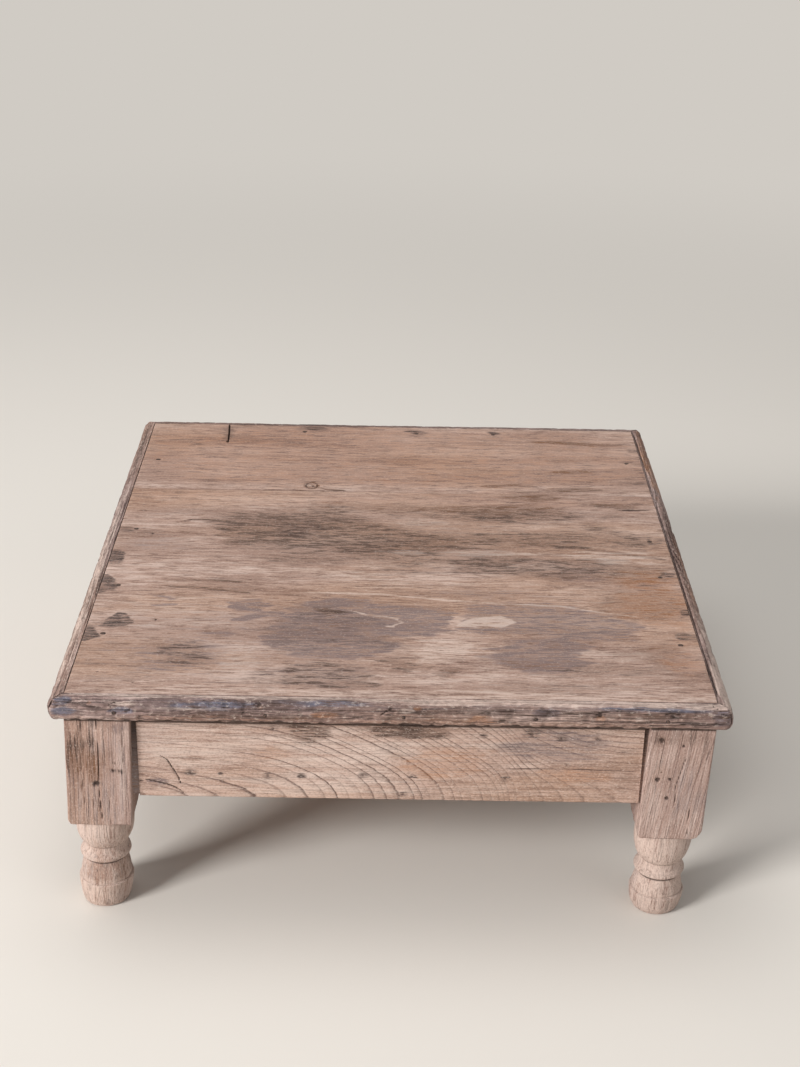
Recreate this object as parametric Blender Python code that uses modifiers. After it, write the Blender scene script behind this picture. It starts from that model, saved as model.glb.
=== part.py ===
"""Low square table: two top boards and four nailed edge strips on a pegged mortise and tenon frame.

Metres, +Z up, +X to the right, -Y to the front. The origin lies on the floor under the middle of the table.
Each leg is one piece of wood, a square post above a turned foot. Nothing on the table moves.
The old frame leans a little: legs and side aprons are sheared to the left below the top, and the shoulders
of the front and back aprons stand open by as much.
"""

import math
from collections import namedtuple

import bmesh
import bpy
from mathutils import Matrix

TABLE_NAME = "low_table"

# Frame, measured outside the legs
FRAME_WIDTH = 0.500
FRAME_DEPTH = 0.546
FRAME_HEIGHT = 0.184
LEG_SIDE = 0.051
LEG_ARRIS = 0.0016

# Lean of the frame, in metres to the left for each metre below the top
FRAME_LEAN = 0.028

# Aprons between the legs
APRON_HEIGHT = 0.075
APRON_THICKNESS = 0.022
APRON_SETBACK = 0.006
APRON_ARRIS = 0.0016
SHOULDER_GAP = 0.0012

# Tenons of the aprons, and the pegs that hold them
TENON_THICKNESS = 0.009
TENON_TOP_SHOULDER = 0.012
TENON_BOTTOM_SHOULDER = 0.006
MORTISE_WALL = 0.0035
PEG_RADIUS = 0.0027
PEG_TAPER = 0.0005
PEG_BEYOND_TENON = 0.006

# Turned foot, heights above the floor
FOOT_HEIGHT = 0.082
FOOT_SPIGOT = 0.004
BOWL_RADIUS = 0.0234
NECK_RADIUS = 0.0180
NECK_HEIGHT = 0.0460
RING_RADIUS = 0.0195
RING_HEIGHT = 0.0408
RING_THICKNESS = 0.0056
VASE_RADIUS = 0.0203
BAND_HEIGHT = 0.0195
BAND_RADIUS = 0.0216
BAND_START = math.radians(34)
SOLE_RADIUS = 0.0172

# Hand-turned feet differ: how far the turnings of each leg sit above or below the heights given here
TURNING_SHIFTS = {"front_left": 0.0027, "front_right": -0.0027, "back_left": 0.0, "back_right": 0.0}

# Top: boards inside a frame of rounded edge strips
TOP_THICKNESS = 0.021
TOP_OVERHANG = 0.0105
STRIP_WIDTH = 0.012
STRIP_ROUND = 0.0094
CORNER_RADIUS = 0.0120
BACK_BOARD_DEPTH = 0.165

# Nails through the boards into the aprons, and brads through the strips into the boards
NAIL_HEAD_RADIUS = 0.0027
NAIL_HEAD_THICKNESS = 0.0010
NAIL_SHANK_RADIUS = 0.0011
NAIL_BITE = 0.019
BRAD_HEAD_RADIUS = 0.0018
BRAD_HEAD_THICKNESS = 0.0008
BRAD_SHANK_RADIUS = 0.0008
BRAD_BITE = 0.010
POINT_LENGTH = 0.006
POINT_RADIUS = 0.0003

# Places of nails and brads, as shares of a side's clear length, left to right as seen from outside that side
RIGHT_NAILS = (0.09, 0.36, 0.52, 0.92)
BACK_NAILS = (0.24, 0.44, 0.73)
LEFT_NAILS = (0.10, 0.46, 0.71, 0.90)
FRONT_BRADS = (0.06, 0.30, 0.52, 0.73, 0.94)
SIDE_BRADS = (0.10, 0.50, 0.90)

# Gap between pieces that touch, how far cutters stand clear, and facets of round pieces
FIT_GAP = 0.0003
CUT_MARGIN = 0.005
FOOT_FACETS = 24
NAIL_FACETS = 10
PEG_FACETS = 14
ROUND_SEGMENTS = 5
SHARP_ANGLE = math.radians(35)

# Sizes that follow from the ones above
TOP_WIDTH = FRAME_WIDTH + 2 * TOP_OVERHANG
TOP_DEPTH = FRAME_DEPTH + 2 * TOP_OVERHANG
PANEL_WIDTH = TOP_WIDTH - 2 * STRIP_WIDTH
PANEL_DEPTH = TOP_DEPTH - 2 * STRIP_WIDTH
TOP_MIDDLE = FRAME_HEIGHT + TOP_THICKNESS / 2
TOP_FACE = FRAME_HEIGHT + TOP_THICKNESS
APRON_MIDLINE = APRON_SETBACK + APRON_THICKNESS / 2
APRON_CENTRE_HEIGHT = FRAME_HEIGHT - FIT_GAP - APRON_HEIGHT / 2
APRON_LEAN = FRAME_LEAN * APRON_HEIGHT
TENON_LENGTH = LEG_SIDE - APRON_MIDLINE - TENON_THICKNESS / 2 - MORTISE_WALL - APRON_LEAN
TENON_HEIGHT = APRON_HEIGHT - TENON_TOP_SHOULDER - TENON_BOTTOM_SHOULDER
TENON_CENTRE_HEIGHT = APRON_CENTRE_HEIGHT + (TENON_BOTTOM_SHOULDER - TENON_TOP_SHOULDER) / 2
PEG_LENGTH = APRON_MIDLINE + TENON_THICKNESS / 2 + PEG_BEYOND_TENON
PEG_LEAN = FRAME_LEAN * (FRAME_HEIGHT - TENON_CENTRE_HEIGHT)

# One side of the table, drawn as the front and turned about Z by angle: length and reach are the frame's
# length along it and its distance from the middle, ends names its two ends, left and right from outside, and
# leans tells whether its apron leans with the legs
Side = namedtuple("Side", "name angle length reach ends leans nails brads")
SIDES = (
    Side("front", 0, FRAME_WIDTH, FRAME_DEPTH / 2, ("left", "right"), False, (), FRONT_BRADS),
    Side("right", 90, FRAME_DEPTH, FRAME_WIDTH / 2, ("front", "back"), True, RIGHT_NAILS, SIDE_BRADS),
    Side("back", 180, FRAME_WIDTH, FRAME_DEPTH / 2, ("right", "left"), False, BACK_NAILS, SIDE_BRADS),
    Side("left", 270, FRAME_DEPTH, FRAME_WIDTH / 2, ("back", "front"), True, LEFT_NAILS, SIDE_BRADS),
)

Nail = namedtuple("Nail", "length head_radius head_thickness shank_radius")
TOP_NAIL = Nail(TOP_THICKNESS + NAIL_BITE, NAIL_HEAD_RADIUS, NAIL_HEAD_THICKNESS, NAIL_SHANK_RADIUS)
STRIP_BRAD = Nail(STRIP_WIDTH + BRAD_BITE, BRAD_HEAD_RADIUS, BRAD_HEAD_THICKNESS, BRAD_SHANK_RADIUS)

# Linear colour, roughness and metallic value of each finish
FINISHES = {
    "top_wood": ((0.402, 0.279, 0.231), 0.80, 0.0),
    "strip_wood": ((0.254, 0.168, 0.150), 0.78, 0.0),
    "apron_wood": ((0.474, 0.319, 0.262), 0.84, 0.0),
    "leg_wood": ((0.402, 0.271, 0.223), 0.86, 0.0),
    "peg_wood": ((0.107, 0.065, 0.048), 0.85, 0.0),
    "old_iron": ((0.048, 0.034, 0.032), 0.62, 0.8),
}


def clear_scene():
    """Removes every object of the open scene."""
    for obj in list(bpy.data.objects):
        bpy.data.objects.remove(obj, do_unlink=True)


def new_collection(name, hidden):
    """A collection under the scene's own, left out of renders where hidden is set."""
    collection = bpy.data.collections.new(name)
    collection.hide_render = hidden
    bpy.context.scene.collection.children.link(collection)
    return collection


def make_finish(name):
    """The Principled material of one finish."""
    colour, roughness, metallic = FINISHES[name]
    material = bpy.data.materials.new(name)
    material.use_nodes = True
    shader = material.node_tree.nodes["Principled BSDF"]
    shader.inputs["Base Color"].default_value = (*colour, 1.0)
    shader.inputs["Roughness"].default_value = roughness
    shader.inputs["Metallic"].default_value = metallic
    return material


def side_matrix(side, x=0.0, y=0.0, z=0.0):
    """The place of a point of the front, turned to the given side."""
    return Matrix.Rotation(math.radians(side.angle), 4, "Z") @ Matrix.Translation((x, y, z))


def leaned(mesh, place):
    """The mesh, sheared so that it leans as the frame does once it is in its place."""
    lean = Matrix.Identity(4)
    lean[0][2] = FRAME_LEAN
    lean[0][3] = -FRAME_LEAN * FRAME_HEIGHT
    mesh.transform(place.inverted() @ lean @ place)
    return mesh


def mesh_from(bm, name):
    """A mesh of the given bmesh, smooth but for its sharp edges."""
    mesh = bpy.data.meshes.new(name)
    bm.to_mesh(mesh)
    bm.free()
    mesh.shade_smooth()
    mesh.set_sharp_from_angle(angle=SHARP_ANGLE)
    return mesh


def edges_along(bm, axis):
    """The edges of a box that run along the given axis."""
    return [edge for edge in bm.edges if abs(edge.verts[0].co[axis] - edge.verts[1].co[axis]) > FIT_GAP]


def round_edges(bm, edges, radius, segments):
    """Rounds the given edges of a box."""
    bmesh.ops.bevel(
        bm, geom=edges, offset=radius, segments=segments, profile=0.5, affect="EDGES", material=-1
    )


def box(width, depth, height):
    """A bmesh box about the origin."""
    bm = bmesh.new()
    bmesh.ops.create_cube(bm, size=1.0)
    bmesh.ops.scale(bm, vec=(width, depth, height), verts=bm.verts)
    return bm


def turned_mesh(name, profile, facets):
    """The closed mesh of a profile of (radius, height) points, listed from top to bottom, turned about Z."""
    bm = bmesh.new()
    rim = [bm.verts.new((radius, 0.0, height)) for radius, height in profile]
    for upper, lower in zip(rim, rim[1:]):
        bm.edges.new((upper, lower))
    outline = bpy.data.objects.new(name, mesh_from(bm, name))
    bpy.context.scene.collection.objects.link(outline)
    screw = outline.modifiers.new("turn", "SCREW")
    screw.axis = "Z"
    screw.steps = facets
    screw.render_steps = facets
    screw.use_merge_vertices = True
    screw.merge_threshold = 0.00001
    graph = bpy.context.evaluated_depsgraph_get()
    mesh = bpy.data.meshes.new_from_object(outline.evaluated_get(graph))
    bpy.data.objects.remove(outline, do_unlink=True)
    mesh.name = name
    mesh.shade_smooth()
    mesh.set_sharp_from_angle(angle=SHARP_ANGLE)
    return mesh


def arc(centre, semi_axes, start, end, steps):
    """Points along an ellipse from angle start to angle end, both included, as (radius, height)."""
    points = []
    for step in range(steps + 1):
        angle = start + (end - start) * step / steps
        radius = centre[0] + semi_axes[0] * math.cos(angle)
        height = centre[1] + semi_axes[1] * math.sin(angle)
        points.append((radius, height))
    return points


def swell(top, bottom, steps):
    """Points of a vase's side between two (radius, height) points, both left out, eased at both ends."""
    points = []
    for step in range(1, steps):
        share = step / steps
        eased = share * share * (3 - 2 * share)
        points.append((top[0] + (bottom[0] - top[0]) * eased, top[1] + (bottom[1] - top[1]) * share))
    return points


def foot_profile(shift):
    """The turned foot from the spigot inside the post down to the sole, with its turnings raised by shift."""
    quarter = math.pi / 2
    top = FOOT_HEIGHT + shift
    bowl = arc((NECK_RADIUS, top), (BOWL_RADIUS - NECK_RADIUS, FOOT_HEIGHT - NECK_HEIGHT), 0, -quarter, 6)
    ring_size = (RING_RADIUS - NECK_RADIUS, RING_THICKNESS / 2)
    ring = arc((NECK_RADIUS, RING_HEIGHT + shift), ring_size, quarter, -quarter, 6)
    vase_foot = (VASE_RADIUS, BAND_HEIGHT + shift)
    vase = swell(ring[-1], vase_foot, 4)
    band_middle = vase_foot[1] / (1 + math.sin(BAND_START))
    band = arc((SOLE_RADIUS, band_middle), (BAND_RADIUS - SOLE_RADIUS, band_middle), BAND_START, -quarter, 6)
    spigot = [(0.0, top + FOOT_SPIGOT), (BOWL_RADIUS, top + FOOT_SPIGOT)]
    return spigot + bowl + ring + vase + [vase_foot] + band + [(0.0, 0.0)]


def nail_profile(nail, gap=0.0, above=0.0):
    """A nail with its head's face at height 0, or the hole for it with a gap all round and a height above."""
    head = nail.head_radius + gap
    seat = -nail.head_thickness - gap
    shank = nail.shank_radius + gap
    tip = -nail.length - gap
    return [
        (0.0, above),
        (head, above),
        (head, seat),
        (shank, seat),
        (shank, tip + POINT_LENGTH),
        (POINT_RADIUS + gap, tip),
        (0.0, tip),
    ]


def strip_slab(name):
    """The top's full outline as a slab with round corners and round edges, which the strips are cut from."""
    bm = box(TOP_WIDTH, TOP_DEPTH, TOP_THICKNESS)
    round_edges(bm, edges_along(bm, 2), CORNER_RADIUS, ROUND_SEGMENTS)
    upright = set(edges_along(bm, 2))
    round_edges(bm, [edge for edge in bm.edges if edge not in upright], STRIP_ROUND, ROUND_SEGMENTS)
    return mesh_from(bm, name)


def mitre_wedge(name, length):
    """A wedge round one strip, with its outer face at the origin and both ends mitred at 45 degrees."""
    inner_depth = STRIP_WIDTH + CUT_MARGIN
    bm = box(length - FIT_GAP + 2 * CUT_MARGIN, inner_depth + CUT_MARGIN, TOP_THICKNESS + 2 * CUT_MARGIN)
    bmesh.ops.translate(bm, vec=(0.0, (inner_depth - CUT_MARGIN) / 2, 0.0), verts=bm.verts)
    inner = [vert for vert in bm.verts if vert.co.y > 0]
    share = (length - FIT_GAP - 2 * inner_depth) / (length - FIT_GAP + 2 * CUT_MARGIN)
    bmesh.ops.scale(bm, vec=(share, 1.0, 1.0), verts=inner)
    return mesh_from(bm, name)


def peg_mesh(name, gap=0.0, outside=0.0):
    """A tapered peg driven along +Y with its outer end at the origin, or the hole for it."""
    length = PEG_LENGTH + gap + outside
    bm = bmesh.new()
    bmesh.ops.create_cone(
        bm,
        cap_ends=True,
        segments=PEG_FACETS,
        radius1=PEG_RADIUS + gap,
        radius2=PEG_RADIUS + gap - PEG_TAPER,
        depth=length,
    )
    bmesh.ops.translate(bm, vec=(0.0, 0.0, length / 2 - outside), verts=bm.verts)
    bmesh.ops.rotate(bm, matrix=Matrix.Rotation(-math.pi / 2, 3, "X"), verts=bm.verts)
    return mesh_from(bm, name)


class Table:
    """Makes the table's pieces, and the cutters that fit them to each other."""

    def __init__(self):
        """Sets up the collections, the finishes and the cutters that several pieces share."""
        self.parts = new_collection(TABLE_NAME, hidden=False)
        self.cutters = new_collection(TABLE_NAME + "_cutters", hidden=True)
        self.finishes = {name: make_finish(name) for name in FINISHES}
        self.nail_holes = self.cut_group("nail_holes", TOP_NAIL, self.nail_places())
        self.brad_holes = self.cut_group("brad_holes", STRIP_BRAD, self.brad_places())
        peg_hole = peg_mesh("peg_hole", FIT_GAP, CUT_MARGIN)
        self.peg_holes = self.joined_cutter("peg_holes", peg_hole, self.peg_places())

    def piece(self, name, mesh, place, finish):
        """A visible piece of the table."""
        obj = bpy.data.objects.new(name, mesh)
        obj.matrix_world = place
        if not mesh.materials:
            mesh.materials.append(self.finishes[finish])
        self.parts.objects.link(obj)
        return obj

    def cutter(self, name, mesh, place):
        """A helper that cuts or joins pieces, and is no piece itself."""
        obj = bpy.data.objects.new(name, mesh)
        obj.matrix_world = place
        obj.hide_render = True
        obj.display_type = "WIRE"
        self.cutters.objects.link(obj)
        return obj

    def joined_cutter(self, name, mesh, places):
        """One cutter that holds a copy of the mesh at every place."""
        bm = bmesh.new()
        for _, place in places:
            copy = mesh.copy()
            copy.transform(place)
            bm.from_mesh(copy)
            bpy.data.meshes.remove(copy)
        return self.cutter(name, mesh_from(bm, name), Matrix())

    def cut_group(self, name, nail, places):
        """The holes for all nails of one kind, as one cutter."""
        hole = turned_mesh(name + "_one", nail_profile(nail, FIT_GAP, CUT_MARGIN), NAIL_FACETS)
        return self.joined_cutter(name, hole, places)

    @staticmethod
    def combine(obj, other, operation):
        """Cuts other from obj, or joins it to obj, or keeps what both hold."""
        modifier = obj.modifiers.new(operation.lower() + "_" + other.name, "BOOLEAN")
        modifier.operation = operation
        modifier.solver = "EXACT"
        modifier.object = other

    @staticmethod
    def nail_places():
        """The name and place of every nail through the boards, over the middle of an apron."""
        places = []
        for side in SIDES:
            clear = side.length - 2 * LEG_SIDE
            across = APRON_MIDLINE - side.reach
            for number, share in enumerate(side.nails, 1):
                place = side_matrix(side, clear * (share - 0.5), across, TOP_FACE - FIT_GAP)
                places.append((f"nail_{side.name}_{number}", place))
        return places

    @staticmethod
    def brad_places():
        """The name and place of every brad through a strip, halfway up the top's edge."""
        places = []
        lie_down = Matrix.Rotation(math.pi / 2, 4, "X")
        for side in SIDES:
            for number, share in enumerate(side.brads, 1):
                along = (side.length - 2 * STRIP_WIDTH) * (share - 0.5)
                outer = FIT_GAP - side.reach - TOP_OVERHANG
                place = side_matrix(side, along, outer, TOP_MIDDLE) @ lie_down
                places.append((f"brad_{side.name}_{number}", place))
        return places

    @staticmethod
    def peg_places():
        """The name and place of every peg, driven through a leg's outer face into the middle of a tenon."""
        places = []
        with_leg = Matrix.Translation((-PEG_LEAN, 0.0, 0.0))
        for side in SIDES:
            along = side.length / 2 - LEG_SIDE + TENON_LENGTH / 2
            for end, sign in zip(side.ends, (-1, 1)):
                place = side_matrix(side, sign * along, FIT_GAP - side.reach, TENON_CENTRE_HEIGHT)
                places.append((f"peg_{side.name}_{end}", with_leg @ place))
        return places

    def make_aprons(self):
        """Four boards between the legs, each joined to its tenons; returns the cutters of their mortises."""
        mortises = {}
        for side in SIDES:
            clear = side.length - 2 * LEG_SIDE
            place = side_matrix(side, 0.0, APRON_MIDLINE - side.reach, APRON_CENTRE_HEIGHT)
            tenon_place = side_matrix(side, 0.0, APRON_MIDLINE - side.reach, TENON_CENTRE_HEIGHT)
            opening = SHOULDER_GAP if side.leans else SHOULDER_GAP + APRON_LEAN
            board = box(clear - 2 * opening, APRON_THICKNESS, APRON_HEIGHT)
            lower = [edge for edge in edges_along(board, 0) if all(vert.co.z < 0 for vert in edge.verts)]
            round_edges(board, lower, APRON_ARRIS, 2)
            body = mesh_from(board, "apron")
            reach = clear + 2 * TENON_LENGTH
            bar = mesh_from(box(reach, TENON_THICKNESS, TENON_HEIGHT), "tenons")
            gap = 2 * FIT_GAP
            room = mesh_from(box(reach + gap, TENON_THICKNESS + gap, TENON_HEIGHT + gap), "mortises")
            if side.leans:
                leaned(body, place)
                leaned(bar, tenon_place)
                leaned(room, tenon_place)
            apron = self.piece(f"apron_{side.name}", body, place, "apron_wood")
            self.combine(apron, self.cutter(f"tenons_{side.name}", bar, tenon_place), "UNION")
            mortises[side.name] = self.cutter(f"mortises_{side.name}", room, tenon_place)
            self.combine(apron, self.peg_holes, "DIFFERENCE")
            self.combine(apron, self.nail_holes, "DIFFERENCE")
        return mortises

    def make_legs(self, mortises):
        """Four square posts, each joined to its turned foot and cut for two tenons and two pegs."""
        for front_back, y_sign in (("front", -1), ("back", 1)):
            for left_right, x_sign in (("left", -1), ("right", 1)):
                corner = f"{front_back}_{left_right}"
                shift = TURNING_SHIFTS[corner]
                axis_x = x_sign * (FRAME_WIDTH - LEG_SIDE) / 2
                axis_y = y_sign * (FRAME_DEPTH - LEG_SIDE) / 2
                post_height = FRAME_HEIGHT - FIT_GAP - FOOT_HEIGHT - shift
                post = box(LEG_SIDE, LEG_SIDE, post_height)
                round_edges(post, edges_along(post, 2), LEG_ARRIS, 2)
                middle = Matrix.Translation((axis_x, axis_y, FOOT_HEIGHT + shift + post_height / 2))
                sole = Matrix.Translation((axis_x, axis_y, 0.0))
                foot_mesh = leaned(turned_mesh("foot", foot_profile(shift), FOOT_FACETS), sole)
                foot = self.cutter(f"foot_{corner}", foot_mesh, sole)
                leg = self.piece(f"leg_{corner}", leaned(mesh_from(post, "leg"), middle), middle, "leg_wood")
                self.combine(leg, foot, "UNION")
                self.combine(leg, mortises[front_back], "DIFFERENCE")
                self.combine(leg, mortises[left_right], "DIFFERENCE")
                self.combine(leg, self.peg_holes, "DIFFERENCE")

    def make_boards(self):
        """Two boards edge to edge inside the strips, pierced by the nails and bored by the brads."""
        width = PANEL_WIDTH - 2 * FIT_GAP
        seam = PANEL_DEPTH / 2 - BACK_BOARD_DEPTH
        spans = (
            ("top_board_front", FIT_GAP - PANEL_DEPTH / 2, seam - FIT_GAP / 2),
            ("top_board_back", seam + FIT_GAP / 2, PANEL_DEPTH / 2 - FIT_GAP),
        )
        for name, front, back in spans:
            mesh = mesh_from(box(width, back - front, TOP_THICKNESS), name)
            place = Matrix.Translation((0.0, (front + back) / 2, TOP_MIDDLE))
            board = self.piece(name, mesh, place, "top_wood")
            self.combine(board, self.nail_holes, "DIFFERENCE")
            self.combine(board, self.brad_holes, "DIFFERENCE")

    def make_strips(self):
        """Four edge strips, each the part of the rounded slab between two mitres and outside the boards."""
        inside = mesh_from(box(PANEL_WIDTH, PANEL_DEPTH, TOP_THICKNESS + 2 * CUT_MARGIN), "inside")
        middle = Matrix.Translation((0.0, 0.0, TOP_MIDDLE))
        inside_cutter = self.cutter("boards_inside", inside, middle)
        for side in SIDES:
            outer = side.length + 2 * TOP_OVERHANG
            strip = self.piece(f"edge_strip_{side.name}", strip_slab("edge_strip"), middle, "strip_wood")
            place = side_matrix(side, 0.0, -side.reach - TOP_OVERHANG, TOP_MIDDLE)
            wedge = self.cutter(f"mitre_{side.name}", mitre_wedge("mitre", outer), place)
            self.combine(strip, wedge, "INTERSECT")
            self.combine(strip, inside_cutter, "DIFFERENCE")
            self.combine(strip, self.brad_holes, "DIFFERENCE")

    def make_fastenings(self):
        """The iron nails and brads and the wooden pegs, each seated in its hole."""
        nail = turned_mesh("nail", nail_profile(TOP_NAIL), NAIL_FACETS)
        brad = turned_mesh("brad", nail_profile(STRIP_BRAD), NAIL_FACETS)
        peg = peg_mesh("peg")
        kinds = (
            (nail, self.nail_places(), "old_iron"),
            (brad, self.brad_places(), "old_iron"),
            (peg, self.peg_places(), "peg_wood"),
        )
        for mesh, places, finish in kinds:
            for name, place in places:
                self.piece(name, mesh, place, finish)

    def build(self):
        """Makes every piece, from the frame up to the fastenings."""
        mortises = self.make_aprons()
        self.make_legs(mortises)
        self.make_boards()
        self.make_strips()
        self.make_fastenings()


def main():
    """Empties the scene and builds the table in it."""
    clear_scene()
    Table().build()


main()
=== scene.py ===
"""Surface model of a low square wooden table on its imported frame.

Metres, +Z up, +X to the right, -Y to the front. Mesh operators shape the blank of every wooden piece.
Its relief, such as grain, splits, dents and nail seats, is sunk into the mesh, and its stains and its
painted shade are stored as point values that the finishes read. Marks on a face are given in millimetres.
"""

import logging
import math
from abc import ABC, abstractmethod
from collections.abc import Callable, Iterable
from dataclasses import dataclass, field, replace
from enum import Enum
from typing import Any, ClassVar

import bmesh
import bpy
import numpy as np
from mathutils import Matrix, Vector


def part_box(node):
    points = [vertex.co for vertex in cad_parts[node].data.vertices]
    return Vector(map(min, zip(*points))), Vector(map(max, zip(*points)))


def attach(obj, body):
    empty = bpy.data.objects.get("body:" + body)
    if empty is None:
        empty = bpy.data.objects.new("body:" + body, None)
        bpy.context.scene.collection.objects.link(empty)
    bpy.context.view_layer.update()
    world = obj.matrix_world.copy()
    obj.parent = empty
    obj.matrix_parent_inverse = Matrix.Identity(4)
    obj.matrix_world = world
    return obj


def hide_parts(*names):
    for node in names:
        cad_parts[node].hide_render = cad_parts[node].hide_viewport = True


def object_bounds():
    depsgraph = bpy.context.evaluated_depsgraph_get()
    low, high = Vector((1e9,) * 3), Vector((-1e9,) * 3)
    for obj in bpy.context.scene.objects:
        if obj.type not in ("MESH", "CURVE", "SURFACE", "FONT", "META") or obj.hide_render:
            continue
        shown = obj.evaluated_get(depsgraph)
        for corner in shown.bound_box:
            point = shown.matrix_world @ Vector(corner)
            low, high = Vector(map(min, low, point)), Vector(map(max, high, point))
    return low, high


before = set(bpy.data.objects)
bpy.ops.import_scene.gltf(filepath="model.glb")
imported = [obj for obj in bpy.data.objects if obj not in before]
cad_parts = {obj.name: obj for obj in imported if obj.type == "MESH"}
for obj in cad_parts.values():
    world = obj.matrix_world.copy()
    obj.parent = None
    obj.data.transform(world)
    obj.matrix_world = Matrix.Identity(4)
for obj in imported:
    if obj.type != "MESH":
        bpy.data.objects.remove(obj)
CAD_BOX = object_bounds()

LOG = logging.getLogger("low_table")
MM = 0.001
# Metres to the left for each metre below the top, by which the loose frame leans
LEAN = 0.028
# Least divisor, and the reach within which a point counts as lying on a plane
TINY = 1e-9
ON_PLANE = 1e-5
UP = Vector((0.0, 0.0, 1.0))
# Middle of the back board's knot, in millimetres
KNOT = (-78.0, 120.4)
# Radius, depth and rim of the seat of a nail and of a brad, in millimetres
NAIL_SEAT = (3.5, 0.42, 0.74)
BRAD_SEAT = (2.6, 0.5, 0.7)
# Thickness of the head and radius of the shank
NAIL_SIZES = {"nail": (0.0010, 0.0011), "brad": (0.0008, 0.0008)}
FIRST_FIXING_SEED = 60

Colour = tuple[float, float, float, float]
Triple = tuple[float, float, float]
Outline = tuple[tuple[float, float], ...]
Settings = dict[str, Any]
Sockets = dict[str | int, Any]


def srgb(red: int, green: int, blue: int) -> Colour:
    """The linear colour of an 8-bit screen colour."""
    return (*(((value / 255 + 0.055) / 1.055) ** 2.4 for value in (red, green, blue)), 1.0)


def smooth_step(low: float, high: float, values: np.ndarray) -> np.ndarray:
    """Values eased from 0 at low to 1 at high."""
    share = np.clip((values - low) / (high - low), 0.0, 1.0)
    return share * share * (3.0 - 2.0 * share)


def gathered(
    low: float, high: float, count: int, focus: Iterable[Triple], samples: int = 4001
) -> np.ndarray:
    """Places of grid lines that crowd together near given spots.

    Args:
        low: First line.
        high: Last line.
        count: Number of gaps between lines.
        focus: Spots as (place, half width, how many times denser).
        samples: Points at which the density is summed up.

    Returns:
        The count + 1 places, in rising order.
    """
    fine = np.linspace(low, high, samples)
    density = np.ones_like(fine)
    for place, width, gain in focus:
        density += gain * np.exp(-(((fine - place) / width) ** 2))
    total = np.concatenate(([0.0], np.cumsum((density[1:] + density[:-1]) / 2)))
    return np.interp(np.linspace(0.0, total[-1], count + 1), total, fine)


class SmoothNoise:
    """Seeded value noise over arrays of points."""

    CELLS = 4096
    MIX = np.array([73856093, 19349663, 83492791], np.int64)
    SCRAMBLE = 2246822519

    def __init__(self, seed: int) -> None:
        """Fills the table of lattice values."""
        self.values = np.random.RandomState(seed).uniform(-1.0, 1.0, self.CELLS)

    def at(self, points: np.ndarray) -> np.ndarray:
        """Noise of -1 to 1 at points whose lattice cells are one unit wide."""
        cell = np.floor(points).astype(np.int64)
        share = points - cell
        share = share * share * (3.0 - 2.0 * share)
        total = np.zeros(len(points))
        for corner in range(8):
            step = np.array([corner & 1, corner >> 1 & 1, corner >> 2 & 1])
            weight = np.prod(np.where(step, share, 1.0 - share), axis=1)
            parts = (cell + step) * self.MIX
            key = parts[:, 0] ^ parts[:, 1] ^ parts[:, 2]
            key = (key ^ (key >> 15)) * self.SCRAMBLE
            total += weight * self.values[(key ^ (key >> 13)) & (self.CELLS - 1)]
        return total

    def grain(self, fibre: np.ndarray, along: float, across: float, layers: int = 2) -> np.ndarray:
        """Noise drawn out along the fibres.

        Args:
            fibre: Points as (along, across, deep), in metres.
            along: Lattice cells to a metre along the fibres.
            across: Lattice cells to a metre across them.
            layers: Number of octaves.

        Returns:
            One value for each point, about -1 to 1.
        """
        scaled = fibre * np.array([along, across, across])
        total = np.zeros(len(fibre))
        for layer in range(layers):
            total += self.at(scaled * 2.0**layer + 7.3 * layer) * 0.5**layer
        return total / (2.0 - 0.5 ** (layers - 1))

    def waves(self, fibre: np.ndarray, along: float, across: float) -> np.ndarray:
        """The same noise moved to lie between 0 and 1."""
        return 0.5 + 0.5 * self.grain(fibre, along, across)


class Tint(Enum):
    """Kinds of discolouring, and the painted shade of hollows, creases and undersides, each stored as point
    values of that name.
    """

    SOOT = "soot"
    SLATE = "slate"
    PALE = "pale"
    RUST = "rust"
    IRON = "iron"
    BLUED = "blued"
    # Painted shade: darkening painted into cracks, holes, creases, grooves, undersides and under the top's
    # overhang
    HOLLOW = "hollow"


SOOT, SLATE, PALE, RUST, IRON, BLUED, HOLLOW = Tint


class Slot(Enum):
    """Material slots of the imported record."""

    TOP = "top_wood"
    STRIP = "strip_wood"
    APRON = "apron_wood"
    LEG = "leg_wood"
    PEG = "peg_wood"
    IRON = "old_iron"


class Grain(Enum):
    """The axis that a piece's fibres run along, as the order of (along, across, deep)."""

    X = (0, 1, 2)
    Y = (1, 0, 2)


class Side(Enum):
    """Sides of the table, each drawn as the front and turned about Z by this many degrees."""

    FRONT = 0
    RIGHT = 90
    BACK = 180
    LEFT = 270

    @property
    def along_x(self) -> bool:
        """Whether the side runs left to right."""
        return self in (Side.FRONT, Side.BACK)

    def turn(self, points: np.ndarray, back: bool = False) -> np.ndarray:
        """Points of the front turned to this side, or back again."""
        angle = math.radians(-self.value if back else self.value)
        turned = points.copy()
        turned[:, 0] = points[:, 0] * math.cos(angle) - points[:, 1] * math.sin(angle)
        turned[:, 1] = points[:, 0] * math.sin(angle) + points[:, 1] * math.cos(angle)
        return turned

    def front_box(self, node: str) -> tuple[np.ndarray, np.ndarray]:
        """The lowest and highest corners of a node of this side, turned to the front."""
        corners = self.turn(np.array([corner[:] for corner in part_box(node)]), back=True)
        return corners.min(axis=0), corners.max(axis=0)


def leaned(points: np.ndarray) -> np.ndarray:
    """Points of the frame sheared to the left below the top, as the loose joints let it lean."""
    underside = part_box("top_board_front")[0].z
    moved = points.copy()
    moved[:, 0] -= LEAN * (underside - points[:, 2])
    return moved


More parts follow.
